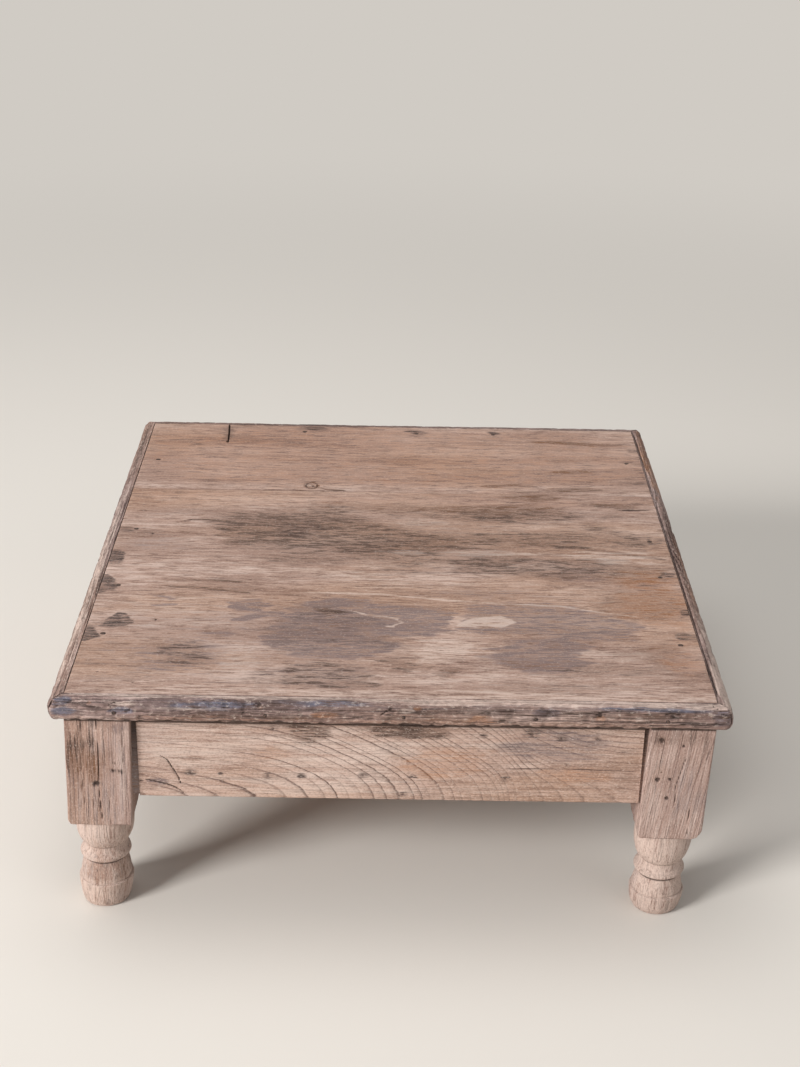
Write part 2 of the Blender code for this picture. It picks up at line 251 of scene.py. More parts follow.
@dataclass(frozen=True)
class Face:
    """The points of a piece as places on one of its faces, in metres.

    The rough noise frays outlines, and by the drift noise stains creep along the fibres.
    """

    u: np.ndarray
    v: np.ndarray
    rough: np.ndarray
    drift: np.ndarray | float = 0.0

    def crept(self, reach: float) -> "Face":
        """The face as it looks to a stain that creeps by so many millimetres."""
        return replace(self, u=self.u + reach * MM * self.drift)

    def nearest(self, points: Outline) -> tuple[np.ndarray, np.ndarray]:
        """How far each point lies from a line, and where along the line.

        Args:
            points: Corners of the line, in millimetres.

        Returns:
            The distances in metres, and the shares of the line's stretches passed, 0 to 1.
        """
        nearest = np.full(len(self.u), np.inf)
        travel = np.zeros(len(self.u))
        for index, (start, end) in enumerate(zip(points, points[1:])):
            ax, ay = start[0] * MM, start[1] * MM
            bx, by = end[0] * MM - ax, end[1] * MM - ay
            share = ((self.u - ax) * bx + (self.v - ay) * by) / (bx * bx + by * by)
            share = np.clip(share, 0.0, 1.0)
            away = np.hypot(self.u - ax - share * bx, self.v - ay - share * by)
            travel = np.where(away < nearest, (index + share) / (len(points) - 1), travel)
            nearest = np.minimum(away, nearest)
        return nearest, travel


@dataclass(frozen=True)
class Stain:
    """A soft patch on a face, placed and sized in millimetres and turned by degrees."""

    tint: Tint = field(kw_only=True)
    x: float
    y: float
    width: float
    height: float
    strength: float = 1.0
    turn: float = 0.0
    softness: float = 0.45
    ragged: float = 0.7
    square: float = 2.0
    fray: float = 9.0

    def mask(self, face: Face) -> np.ndarray:
        """How strongly the patch marks each point."""
        turn = math.radians(self.turn)
        du, dv = face.u - self.x * MM, face.v - self.y * MM
        along = (du * math.cos(turn) + dv * math.sin(turn)) / (self.width * MM / 2)
        across = (dv * math.cos(turn) - du * math.sin(turn)) / (self.height * MM / 2)
        reach = (np.abs(along) ** self.square + np.abs(across) ** self.square) ** (1.0 / self.square)
        reach += self.ragged * face.rough
        return self.strength * (1.0 - smooth_step(1.0 - self.softness, 1.0 + self.softness, reach))


@dataclass(frozen=True)
class Patch:
    """A patch on a face with a drawn outline, in millimetres."""

    tint: Tint = field(kw_only=True)
    outline: Outline
    strength: float = 1.0
    softness: float = 2.0
    ragged: float = 2.5
    fray: float = 14.0

    def mask(self, face: Face) -> np.ndarray:
        """How strongly the patch marks each point."""
        closed = (*self.outline, self.outline[0])
        away, _ = face.nearest(closed)
        inside = np.zeros(len(away), bool)
        for (ax, ay), (bx, by) in zip(closed, closed[1:]):
            level = (ay * MM > face.v) != (by * MM > face.v)
            inside ^= level & (face.u < ax * MM + (face.v - ay * MM) * (bx - ax) / ((by - ay) or 1.0))
        depth = np.where(inside, away, -away) + self.ragged * MM * face.rough
        return self.strength * smooth_step(-self.softness * MM, self.softness * MM, depth)


@dataclass(frozen=True)
class Stroke:
    """A soft stain along a line of points on a face, in millimetres."""

    LEAST_HALF: ClassVar[float] = 0.05 * MM

    tint: Tint = field(kw_only=True)
    points: Outline
    width: float
    strength: float = 1.0
    fray: float = 4.0

    def mask(self, face: Face) -> np.ndarray:
        """How strongly the stroke marks each point, thinning out to both ends."""
        away, travel = face.nearest(self.points)
        half = self.width * MM / 2 * (1.0 + 0.6 * face.rough) * np.sqrt(1.04 - (2.0 * travel - 1.0) ** 4)
        return self.strength * (1.0 - smooth_step(0.3, 1.3, away / np.maximum(half, self.LEAST_HALF)))


@dataclass(frozen=True)
class Split:
    """A crack along a line of points on a face, in millimetres."""

    points: Outline
    width: float
    depth: float

    def depths(self, face: Face) -> np.ndarray:
        """Depth of the crack at each point, in metres, thinning out to both ends."""
        away, travel = face.nearest(self.points)
        half = self.width * MM / 2 * np.sqrt(np.clip(1.0 - (2.0 * travel - 1.0) ** 4, 0.05, 1.0))
        return self.depth * MM * (1.0 - np.clip(away / half * (1.0 + 0.5 * face.rough), 0.0, 1.0) ** 2)


@dataclass(frozen=True)
class Pit:
    """A round hole or dent in a face, in millimetres, whose floor reaches out to the rim's share."""

    x: float
    y: float
    radius: float
    depth: float
    rim: float = 0.55

    def depths(self, face: Face) -> np.ndarray:
        """Depth of the hole at each point, in metres."""
        away = np.hypot(face.u - self.x * MM, face.v - self.y * MM) / (self.radius * MM)
        return self.depth * MM * (1.0 - smooth_step(self.rim, 1.0, away * (1.0 + 0.9 * face.rough)))


@dataclass(frozen=True)
class Weather:
    """Drifting patches of dirt all over a piece.

    The cells are those of the noise to a metre along and across the grain, the start is the noise
    level from which a patch shows, and each patch has its tint, its place in the noise and its strength.
    """

    FULL: ClassVar[float] = 0.6

    cells: tuple[float, float]
    start: float
    patches: tuple[tuple[Tint, float, float], ...]


class Tints(dict[Tint, np.ndarray]):
    """The strength of every kind of stain, and of the painted shade, at each point of a piece, 0 to 1."""

    @classmethod
    def clean(cls, count: int) -> "Tints":
        """No stain and no painted shade on any of so many points."""
        return cls({tint: np.zeros(count) for tint in Tint})

    def lay(self, tint: Tint, values: np.ndarray) -> None:
        """Lays a tint, stain and painted shade alike, on the points where it is stronger than what is
        there.
        """
        self[tint] = np.maximum(self[tint], values)

    def add(self, tint: Tint, values: np.ndarray) -> None:
        """Adds a tint, stain and painted shade alike, to what is there."""
        self[tint] = np.clip(self[tint] + values, 0.0, 1.0)

    def weather(
        self, dirt: Weather, noise: SmoothNoise, fibre: np.ndarray, where: np.ndarray | float = 1.0
    ) -> None:
        """Lays drifting patches of dirt.

        Args:
            dirt: The kinds of patches.
            noise: The piece's noise.
            fibre: Points as (along, across, deep).
            where: How much of the dirt each point takes.
        """
        for tint, place, strength in dirt.patches:
            spread = smooth_step(dirt.start, dirt.FULL, noise.grain(fibre + place, *dirt.cells))
            self.lay(tint, spread * strength * where)


@dataclass
class FaceMarks:
    """All marks on one face of a piece."""

    # Depth at which the painted shade inside an opening sets in, and the depth over which it grows full
    DARK_FROM: ClassVar[float] = 0.25 * MM
    DARK_OVER: ClassVar[float] = 0.6 * MM

    stains: list[Stain | Patch | Stroke] = field(default_factory=list)
    splits: list[Split] = field(default_factory=list)
    pits: list[Pit] = field(default_factory=list)
    dents: list[Pit] = field(default_factory=list)

    def tints(self, face: Face, where: np.ndarray) -> Tints:
        """The strength of every kind of stain at each point, with painted shade darkening the inside of
        cracks and holes.

        Args:
            face: The marked face.
            where: 1 for points on that face and 0 for others.

        Returns:
            The strengths by kind.
        """
        found = Tints.clean(len(face.u))
        for stain in self.stains:
            mask = np.clip(stain.mask(face.crept(stain.fray)), 0.0, 1.0)
            found[stain.tint] = 1.0 - (1.0 - found[stain.tint]) * (1.0 - mask)
        openings = self.deepest((*self.splits, *self.pits), face)
        # Cracks and holes are darkened by their depth, as painted shade
        found.lay(HOLLOW, np.clip((openings - self.DARK_FROM) / self.DARK_OVER, 0.0, 1.0))
        return Tints({tint: values * where for tint, values in found.items()})

    def depths(self, face: Face) -> np.ndarray:
        """How deep cracks, holes and dents go at each point, in metres."""
        return self.deepest((*self.splits, *self.pits, *self.dents), face)

    @staticmethod
    def deepest(marks: Iterable[Split | Pit], face: Face) -> np.ndarray:
        """The depth of the deepest of some marks at each point, in metres."""
        found = np.zeros(len(face.u))
        for mark in marks:
            found = np.maximum(found, mark.depths(face))
        return found


class Shell:
    """The mesh of one piece while its points are worked on as arrays."""

    def __init__(self, name: str, bm: bmesh.types.BMesh) -> None:
        """Turns a finished blank into a mesh and reads its points.

        Args:
            name: Name of the mesh.
            bm: The blank, which is freed.
        """
        bmesh.ops.recalc_face_normals(bm, faces=bm.faces)
        self.mesh = bpy.data.meshes.new(name)
        bm.to_mesh(self.mesh)
        bm.free()
        self.points, self.normals, self.blank = np.empty((3, len(self.mesh.vertices), 3))
        self.mesh.vertices.foreach_get("co", self.points.ravel())
        self.mesh.vertex_normals.foreach_get("vector", self.normals.ravel())
        self.mesh.attributes["fibre"].data.foreach_get("vector", self.blank.ravel())

    def fibres(self, grain: Grain) -> np.ndarray:
        """The blank's points in the order (along, across, deep)."""
        return self.blank[:, list(grain.value)]

    def sink(self, depths: np.ndarray) -> None:
        """Moves the points inwards by the given depths."""
        self.points -= self.normals * depths[:, None]

    def paint(self, name: str, values: np.ndarray) -> None:
        """Stores one value for each point under a name that the finishes read."""
        layer = self.mesh.attributes.new(name, "FLOAT", "POINT")
        layer.data.foreach_set("value", np.ascontiguousarray(values, np.float32))

    def dress(self, fibre: np.ndarray, rings: np.ndarray, tints: Tints) -> None:
        """Stores everything that a wood finish reads.

        Args:
            fibre: Points as (along, across, deep).
            rings: Count of growth rings from some start.
            tints: Strength of each kind of stain and of the painted shade.
        """
        layer = self.mesh.attributes["fibre"]
        layer.data.foreach_set("vector", np.ascontiguousarray(fibre, np.float32).ravel())
        self.paint("rings", rings)
        for tint, values in tints.items():
            self.paint(tint.value, values)

    def close(self, sharp: float) -> bpy.types.Mesh:
        """Writes the points back and sets the shading.

        Args:
            sharp: Angle in degrees past which an edge stays sharp.

        Returns:
            The finished mesh.
        """
        self.mesh.vertices.foreach_set("co", self.points.ravel())
        self.mesh.update()
        self.mesh.shade_smooth()
        self.mesh.set_sharp_from_angle(angle=math.radians(sharp))
        return self.mesh


class Blank:
    """A bmesh that operators turn into one piece."""

    SAME_PLACE = 0.000002
    NO_LENGTH = 0.000001

    def __init__(self) -> None:
        """Starts with nothing."""
        self.bm = bmesh.new()

    def box(self, low: Iterable[float], high: Iterable[float]) -> "Blank":
        """Adds a box between two corners."""
        low, high = Vector(low), Vector(high)
        made = bmesh.ops.create_cube(self.bm, size=1.0)["verts"]
        bmesh.ops.scale(self.bm, vec=high - low, verts=made)
        bmesh.ops.translate(self.bm, vec=(low + high) / 2, verts=made)
        return self

    def slab(self, low: Vector, high: Vector, x_lines: np.ndarray, y_lines: np.ndarray) -> "Blank":
        """Adds a board whose upper face is a grid with the given lines, and whose other faces are plain.

        Args:
            low: Lowest corner.
            high: Highest corner.
            x_lines: Places of the lines across X.
            y_lines: Places of the lines across Y.

        Returns:
            This blank.
        """
        x_count, y_count = len(x_lines) - 1, len(y_lines) - 1
        grid = bmesh.ops.create_grid(self.bm, x_segments=x_count, y_segments=y_count, size=0.5)["verts"]
        for vert in grid:
            vert.co.x = x_lines[round((vert.co.x + 0.5) * x_count)]
            vert.co.y = y_lines[round((vert.co.y + 0.5) * y_count)]
            vert.co.z = high.z
        rim = [edge for edge in self.bm.edges if edge.is_boundary]
        walls = bmesh.ops.extrude_edge_only(self.bm, edges=rim)["geom"]
        lower = [item for item in walls if isinstance(item, bmesh.types.BMVert)]
        bmesh.ops.translate(self.bm, vec=(0.0, 0.0, low.z - high.z), verts=lower)
        bmesh.ops.edgeloop_fill(self.bm, edges=[edge for edge in self.bm.edges if edge.is_boundary])
        return self

    def turned(self, profile: Iterable[tuple[float, float]], axis: Vector, steps: int) -> "Blank":
        """Adds a shape turned on the lathe.

        Args:
            profile: Points as (radius, height), from top to bottom, both ends on the axis.
            axis: The axis's point at height 0.
            steps: Number of facets.

        Returns:
            This blank.
        """
        rim = [self.bm.verts.new((axis.x + radius, axis.y, axis.z + height)) for radius, height in profile]
        geom = rim + [self.bm.edges.new(pair) for pair in zip(rim, rim[1:])]
        bmesh.ops.spin(self.bm, geom=geom, cent=axis, axis=UP, angle=math.tau, steps=steps, use_merge=True)
        return self.merged()

    def merged(self) -> "Blank":
        """Joins points that lie on each other."""
        bmesh.ops.remove_doubles(self.bm, verts=self.bm.verts, dist=self.SAME_PLACE)
        bmesh.ops.dissolve_degenerate(self.bm, edges=self.bm.edges, dist=self.NO_LENGTH)
        return self

    def along(self, axis: int, keep: Callable[[Vector], bool] = lambda _: True) -> list[bmesh.types.BMEdge]:
        """The straight edges along an axis.

        Args:
            axis: 0, 1 or 2 for X, Y or Z.
            keep: Test of an edge's middle.

        Returns:
            The edges that run along the axis and pass the test.
        """
        found = []
        for edge in self.bm.edges:
            first, second = (vert.co for vert in edge.verts)
            run = second - first
            if abs(run[axis]) > 0.999 * run.length and keep((first + second) / 2):
                found.append(edge)
        return found

    def rounded(self, edges: list[bmesh.types.BMEdge], radius: float, segments: int) -> "Blank":
        """Rounds the given edges."""
        bmesh.ops.bevel(
            self.bm, geom=edges, offset=radius, segments=segments, profile=0.5, affect="EDGES", material=-1
        )
        return self

    def divided(self, axis: int, cuts: int) -> "Blank":
        """Cuts every edge along an axis into equal lengths."""
        bmesh.ops.subdivide_edges(self.bm, edges=self.along(axis), cuts=cuts, use_grid_fill=True)
        return self

    def moved(self, turn: Matrix, place: Vector) -> "Blank":
        """Turns everything about the origin and then moves it."""
        bmesh.ops.rotate(self.bm, matrix=turn, verts=self.bm.verts)
        bmesh.ops.translate(self.bm, vec=place, verts=self.bm.verts)
        return self

    def reshaped(self, change: Callable[[np.ndarray], np.ndarray]) -> "Blank":
        """Moves all points at once by a function of their array."""
        moved = change(np.array([vert.co[:] for vert in self.bm.verts]))
        for vert, place in zip(self.bm.verts, moved):
            vert.co = place
        return self

    def respaced(self, axis: int, old: np.ndarray, new: np.ndarray) -> "Blank":
        """Moves cuts along an axis from old places to new ones, and leaves points below them alone."""

        def change(points: np.ndarray) -> np.ndarray:
            """Moves the points from the first old place on."""
            moved = points.copy()
            chosen = points[:, axis] >= old[0] - ON_PLANE / 100
            moved[chosen, axis] = np.interp(points[chosen, axis], old, new)
            return moved

        return self.reshaped(change)

    def shell(self, name: str) -> Shell:
        """The finished mesh, whose fibres follow the points' remembered places."""
        return Shell(name, self.bm)

    def remembered(self) -> "Blank":
        """Keeps the points' present places, which the fibres follow wherever they are bent later."""
        layer = self.bm.verts.layers.float_vector.new("fibre")
        for vert in self.bm.verts:
            vert[layer] = vert.co
        return self


class Signal:
    """A shader socket that takes part in Python expressions."""

    def __init__(self, graph: "ShaderGraph", socket: bpy.types.NodeSocket) -> None:
        """Wraps an output socket of a graph that new nodes go to."""
        self.graph = graph
        self.socket = socket

    def __add__(self, other: "Signal | float") -> "Signal":
        """Sum."""
        return self.graph.math("ADD", self, other)

    __radd__ = __add__

    def __sub__(self, other: "Signal | float") -> "Signal":
        """Difference."""
        return self.graph.math("SUBTRACT", self, other)

    def __rsub__(self, other: float) -> "Signal":
        """Difference from a number."""
        return self.graph.math("SUBTRACT", other, self)

    def __mul__(self, other: "Signal | float") -> "Signal":
        """Product."""
        return self.graph.math("MULTIPLY", self, other)

    def fraction(self) -> "Signal":
        """The part after the decimal point."""
        return self.graph.math("FRACT", self, 0.0)

    def eased(self, low: float, high: float) -> "Signal":
        """Eased from 0 at low to 1 at high."""
        settings = {"interpolation_type": "SMOOTHSTEP"}
        inputs = {"Value": self, "From Min": low, "From Max": high}
        return self.graph.signal("ShaderNodeMapRange", "Result", settings, inputs)

    def blend(self, first: "Signal | Colour", second: "Signal | Colour") -> "Signal":
        """A colour between two, with this value as the share of the second."""
        settings = {"data_type": "RGBA", "clamp_factor": True}
        return self.graph.signal("ShaderNodeMix", 2, settings, {0: self, 6: first, 7: second})


class ShaderGraph:
    """The node tree of one material or of the world."""

    def __init__(self, owner: bpy.types.Material | bpy.types.World) -> None:
        """Empties the owner's node tree."""
        owner.use_nodes = True
        self.tree = owner.node_tree
        self.tree.nodes.clear()

    def node(self, kind: str, settings: Settings, inputs: Sockets) -> bpy.types.Node:
        """Adds any node.

        Args:
            kind: Type of the node.
            settings: Its properties, set first.
            inputs: Values or links of its input sockets, by name or number.

        Returns:
            The node.
        """
        made = self.tree.nodes.new(kind)
        for name, value in settings.items():
            setattr(made, name, value)
        for name, value in inputs.items():
            if isinstance(value, Signal):
                self.tree.links.new(value.socket, made.inputs[name])
            else:
                made.inputs[name].default_value = value
        return made

    def signal(self, kind: str, output: str | int, settings: Settings, inputs: Sockets) -> Signal:
        """Adds any node and gives one of its outputs, by name or number."""
        return Signal(self, self.node(kind, settings, inputs).outputs[output])

    def math(self, operation: str, first: Signal | float, second: Signal | float) -> Signal:
        """One Math node."""
        return self.signal("ShaderNodeMath", "Value", {"operation": operation}, {0: first, 1: second})

    def stored(self, name: str, output: str = "Fac") -> Signal:
        """What the mesh's points store under a name, as a value or as a vector."""
        return self.signal("ShaderNodeAttribute", output, {"attribute_name": name}, {})

    def place(self) -> Signal:
        """The place on the object."""
        return self.signal("ShaderNodeTexCoord", "Object", {}, {})

    def seen(self) -> Signal:
        """1 where the camera looks straight at the surface, and 0 for all other light."""
        return self.signal("ShaderNodeLightPath", "Is Camera Ray", {}, {})

    def noise(self, place: Signal, cells: Triple, detail: float, rough: float = 0.55) -> Signal:
        """Noise over a vector, with so many cells to a metre along each of its axes."""
        multiply = {"operation": "MULTIPLY"}
        scaled = self.signal("ShaderNodeVectorMath", "Vector", multiply, {0: place, 1: cells})
        inputs = {"Vector": scaled, "Scale": 1.0, "Detail": detail, "Roughness": rough}
        return self.signal("ShaderNodeTexNoise", "Fac", {"noise_dimensions": "3D"}, inputs)

    def surface(self, height: Signal, relief: float, depth: float, inputs: Sockets) -> None:
        """Ends a material with a shader whose relief follows a height.

        Args:
            height: Height of the relief, about 0 to 1.
            relief: How strongly it shows.
            depth: What a height of 1 stands for, in metres.
            inputs: The shader's other values or links.
        """
        bump = {"Strength": relief, "Distance": depth, "Height": height}
        normal = self.signal("ShaderNodeBump", "Normal", {}, bump)
        self.end(self.signal("ShaderNodeBsdfPrincipled", "BSDF", {}, inputs | {"Normal": normal}))

    def end(self, shader: Signal, kind: str = "ShaderNodeOutputMaterial") -> None:
        """Ends the graph with a shader."""
        self.node(kind, {}, {"Surface": shader})


@dataclass(frozen=True)
class StainCoat:
    """How one kind of stain shows on wood, and how the painted shade does.

    The noise of grain and of grit breaks it up by fray and grit. It sets in at the strength starts, is full
    at fills, and then covers the wood by its cover.
    """

    tint: Tint
    fray: float
    grit: float
    starts: float
    fills: float
    cover: float
    colour: Colour

    def laid(self, graph: ShaderGraph, colour: Signal, fray: Signal, grit: Signal) -> Signal:
        """Lays the stain over a colour.

        Args:
            graph: The material's graph.
            colour: What lies below.
            fray: Noise of the grain, about -1 to 1.
            grit: Noise of grit, about -1 to 1.

        Returns:
            The stained colour.
        """
        amount = graph.stored(self.tint.value) * (1.0 + fray * self.fray + grit * self.grit)
        return (amount.eased(self.starts, self.fills) * self.cover).blend(colour, self.colour)


STAIN_COATS = (
    StainCoat(SLATE, 0.75, 0.4, 0.12, 1.0, 0.82, srgb(116, 99, 98)),
    StainCoat(BLUED, 0.35, 0.5, 0.15, 0.95, 0.8, srgb(98, 102, 120)),
    StainCoat(SOOT, 0.0, 0.0, 0.1, 1.0, 0.36, srgb(122, 93, 76)),
    StainCoat(SOOT, 1.25, 0.3, 0.22, 1.35, 0.86, srgb(76, 56, 47)),
    StainCoat(RUST, 0.5, 0.3, 0.15, 1.0, 0.6, srgb(170, 118, 82)),
    StainCoat(PALE, 0.45, 0.0, 0.15, 1.0, 0.75, srgb(211, 189, 177)),
    StainCoat(IRON, 0.6, 0.6, 0.15, 1.2, 0.94, srgb(68, 54, 51)),
)
# The coat of the painted shade: a dark colour painted into hollows, creases and undersides
PAINTED_SHADE_COAT = StainCoat(HOLLOW, 0.0, 0.0, 0.05, 0.9, 0.84, srgb(54, 40, 35))


@dataclass(frozen=True)
class Finish(ABC):
    """The look of everything in one material slot."""

    slot: Slot

    def material(self) -> bpy.types.Material:
        """The procedural material of this finish."""
        material = bpy.data.materials.new(self.slot.value)
        self.paint(ShaderGraph(material))
        return material

    @abstractmethod
    def paint(self, graph: ShaderGraph) -> None:
        """Fills the material's graph."""


@dataclass(frozen=True)
class WoodFinish(Finish):
    """Bare weathered wood: three tones of the wood itself, and how strongly grain and relief show.

    The streaks, hairs and specks are noise cells to a metre along, across and into the grain.
    """

    TAN: ClassVar[Colour] = srgb(184, 142, 108)
    DUST: ClassVar[Colour] = srgb(220, 202, 190)
    BROAD_CELLS: ClassVar[Triple] = (5.0, 24.0, 24.0)
    TAN_CELLS: ClassVar[Triple] = (3.0, 13.0, 13.0)
    WOBBLE_CELLS: ClassVar[Triple] = (24.0, 300.0, 300.0)
    YEAR_CELLS: ClassVar[Triple] = (0.9, 1.0, 1.0)
    LONG_CRACKS: ClassVar[tuple[Triple, float]] = ((4.5, 150.0, 150.0), 0.018)
    FINE_CRACKS: ClassVar[tuple[Triple, float]] = ((13.0, 420.0, 420.0), 0.03)

    deep: Colour
    middle: Colour
    light: Colour
    line: Colour
    ring_strength: float
    ring_wobble: float
    crack_strength: float
    hair_strength: float
    dust: float
    relief: float
    roughness: float
    warmth: float = 0.2
    relief_depth: float = 0.0007
    streaks: Triple = (17.0, 210.0, 210.0)
    hairs: Triple = (48.0, 900.0, 900.0)
    specks: Triple = (520.0, 900.0, 900.0)

    def paint(self, graph: ShaderGraph) -> None:
        """Fills the graph, from the tones of clean wood up to stains, dust and the painted shade of
        hollows.
        """
        fibre = graph.stored("fibre", "Vector")
        broad = graph.noise(fibre, self.BROAD_CELLS, 3.0)
        streak = graph.noise(fibre, self.streaks, 4.0, 0.62)
        hair = graph.noise(fibre, self.hairs, 3.0, 0.65)
        speck = graph.noise(fibre, self.specks, 3.0, 0.7)
        tan = graph.noise(fibre, self.TAN_CELLS, 2.0)
        tone = broad * 0.4 + streak * 0.35 + hair * 0.25
        late = self.latewood(graph, fibre, broad, hair)
        crack = self.crack(graph, fibre, *self.LONG_CRACKS) * hair.eased(0.4, 0.54)
        crack = crack + self.crack(graph, fibre, *self.FINE_CRACKS) * streak.eased(0.44, 0.58) * 0.7
        colour = tone.eased(0.38, 0.5).blend(self.deep, self.middle)
        colour = tone.eased(0.48, 0.61).blend(colour, self.light)
        colour = (tan.eased(0.44, 0.62) * self.warmth).blend(colour, self.TAN)
        colour = (late * self.ring_strength).blend(colour, self.line)
        colour = (crack * self.crack_strength).blend(colour, self.line)
        colour = ((1.0 - hair.eased(0.34, 0.48)) * self.hair_strength).blend(colour, self.line)
        fray = (streak - 0.5) * 4.0 + (hair - 0.5) * 6.0
        grit = (speck - 0.5) * 3.5 + (hair - 0.5) * 3.0
        for coat in STAIN_COATS:
            colour = coat.laid(graph, colour, fray, grit)
        colour = ((1.0 - speck.eased(0.34, 0.48)) * self.dust * 0.7).blend(colour, self.line)
        colour = (speck.eased(0.53, 0.68) * self.dust).blend(colour, self.DUST)
        colour = PAINTED_SHADE_COAT.laid(graph, colour, fray, grit)
        height = hair * 0.4 + speck * 0.35 + streak * 0.25 - late * 0.2 - crack * 0.35
        roughness = (hair - 0.5) * 0.3 + self.roughness
        inputs = {"Base Color": colour, "Roughness": roughness, "Specular IOR Level": 0.3}
        graph.surface(height, self.relief, self.relief_depth, inputs)

    def latewood(self, graph: ShaderGraph, fibre: Signal, broad: Signal, hair: Signal) -> Signal:
        """The dark line at the end of each growth ring, broken here and there.

        Args:
            graph: The material's graph.
            fibre: Place along, across and into the grain.
            broad: Noise of broad patches.
            hair: Noise of single fibres.

        Returns:
            How dark the line is, 0 to 1.
        """
        wobble = graph.noise(fibre, self.WOBBLE_CELLS, 2.0)
        rings = graph.stored("rings") + (wobble - 0.5) * self.ring_wobble
        years = graph.signal("ShaderNodeCombineXYZ", "Vector", {}, {"X": rings})
        weight = graph.noise(years, self.YEAR_CELLS, 1.0).eased(0.3, 0.62)
        phase = rings.fraction()
        rise = phase.eased(0.3, 0.9) * 0.2 + phase.eased(0.76, 0.9) * 0.8
        patchy = (broad.eased(0.36, 0.56) * 0.6 + 0.4) * (weight * 0.85 + 0.15)
        return rise * (1.0 - phase.eased(0.93, 1.0)) * patchy * (hair.eased(0.36, 0.5) * 0.35 + 0.65)

    @staticmethod
    def crack(graph: ShaderGraph, fibre: Signal, cells: Triple, width: float) -> Signal:
        """Thin wandering lines along the grain, where smooth noise crosses its middle.

        Args:
            graph: The material's graph.
            fibre: Place along, across and into the grain.
            cells: Noise cells to a metre.
            width: How far from the middle a line reaches.

        Returns:
            How dark the line is, 0 to 1.
        """
        level = graph.noise(fibre, cells, 1.0)
        return 1.0 - graph.math("ABSOLUTE", level - 0.5, 0.0).eased(width * 0.25, width)


@dataclass(frozen=True)
class IronFinish(Finish):
    """Rusted iron of nails and brads."""

    SCALE_CELLS: ClassVar[Triple] = (900.0, 900.0, 900.0)
    GRIT_CELLS: ClassVar[Triple] = (3200.0, 3200.0, 3200.0)

    dark: Colour
    rust: Colour
    dust: Colour

    def paint(self, graph: ShaderGraph) -> None:
        """Fills the graph with rust scale, grit and dust."""
        place = graph.place()
        scale = graph.noise(place, self.SCALE_CELLS, 3.0)
        grit = graph.noise(place, self.GRIT_CELLS, 2.0)
        rusted = scale.eased(0.42, 0.62)
        colour = (grit.eased(0.55, 0.75) * 0.5).blend(rusted.blend(self.dark, self.rust), self.dust)
        roughness = 0.85 - scale.eased(0.4, 0.6) * 0.2
        inputs = {"Base Color": colour, "Roughness": roughness, "Metallic": 0.35 - rusted * 0.3}
        graph.surface(scale * 0.6 + grit * 0.4, 0.6, 0.0004, inputs)


FINISHES = (
    WoodFinish(
        Slot.TOP, srgb(139, 110, 97), srgb(174, 145, 131), srgb(203, 178, 166), srgb(92, 70, 61),
        ring_strength=0.25, ring_wobble=0.9, crack_strength=0.5, hair_strength=0.5, dust=0.26,
        relief=0.6, roughness=0.76, warmth=0.22,
        streaks=(30.0, 240.0, 240.0), hairs=(70.0, 470.0, 470.0), specks=(430.0, 620.0, 620.0),
    ),
    WoodFinish(
        Slot.STRIP, srgb(108, 87, 82), srgb(151, 127, 121), srgb(202, 178, 171), srgb(58, 45, 42),
        ring_strength=0.2, ring_wobble=0.9, crack_strength=0.6, hair_strength=0.5, dust=0.4,
        relief=1.0, roughness=0.76, relief_depth=0.0024, specks=(240.0, 380.0, 380.0),
    ),
    WoodFinish(
        Slot.APRON, srgb(165, 135, 120), srgb(192, 163, 149), srgb(214, 191, 179), srgb(84, 62, 55),
        ring_strength=0.9, ring_wobble=0.3, crack_strength=0.2, hair_strength=0.28, dust=0.45,
        relief=0.8, roughness=0.8, warmth=0.3, relief_depth=0.0011,
    ),
    WoodFinish(
        Slot.LEG, srgb(141, 112, 101), srgb(175, 147, 136), srgb(208, 184, 174), srgb(84, 64, 58),
        ring_strength=0.22, ring_wobble=0.9, crack_strength=0.6, hair_strength=0.3, dust=0.42,
        relief=0.9, roughness=0.82, relief_depth=0.0012,
    ),
    WoodFinish(
        Slot.PEG, srgb(78, 60, 53), srgb(97, 76, 67), srgb(122, 98, 87), srgb(48, 37, 33),
        ring_strength=0.5, ring_wobble=0.5, crack_strength=0.3, hair_strength=0.4, dust=0.2,
        relief=0.6, roughness=0.82,
    ),
    IronFinish(Slot.IRON, srgb(62, 54, 52), srgb(94, 70, 58), srgb(124, 96, 80)),
)


def placed(name: str, data: bpy.types.ID) -> bpy.types.Object:
    """A new object of the scene."""
    made = bpy.data.objects.new(name, data)
    bpy.context.scene.collection.objects.link(made)
    return made


class Workshop:
    """Holds the finishes and hands finished pieces to the frame."""

    def __init__(self, finishes: Iterable[Finish]) -> None:
        """Makes one material for each slot."""
        self.materials = {finish.slot: finish.material() for finish in finishes}

    def deliver(self, node: str, mesh: bpy.types.Mesh, slot: Slot) -> None:
        """Makes the object of a finished mesh and lets it stand for its node.

        Args:
            node: The node of the frame.
            mesh: The finished mesh, in its place.
            slot: The slot that gives the finish.
        """
        piece = placed(f"{node}_worn", mesh)
        mesh.materials.append(self.materials[slot])
        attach(piece, "root")
        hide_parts(node)
        LOG.info("%s: %d faces, %s", piece.name, len(mesh.polygons), slot.value)


@dataclass
class Piece(ABC):
    """One piece of the table, which stands for a node of the frame."""

    SLOT: ClassVar[Slot]
    SHARP: ClassVar[float]

    node: str
    seed: int

    @abstractmethod
    def shape(self) -> Shell:
        """The worn and stained piece, in its place."""

    def build(self, workshop: Workshop) -> None:
        """Shapes the piece and hands it over."""
        workshop.deliver(self.node, self.shape().close(self.SHARP), self.SLOT)


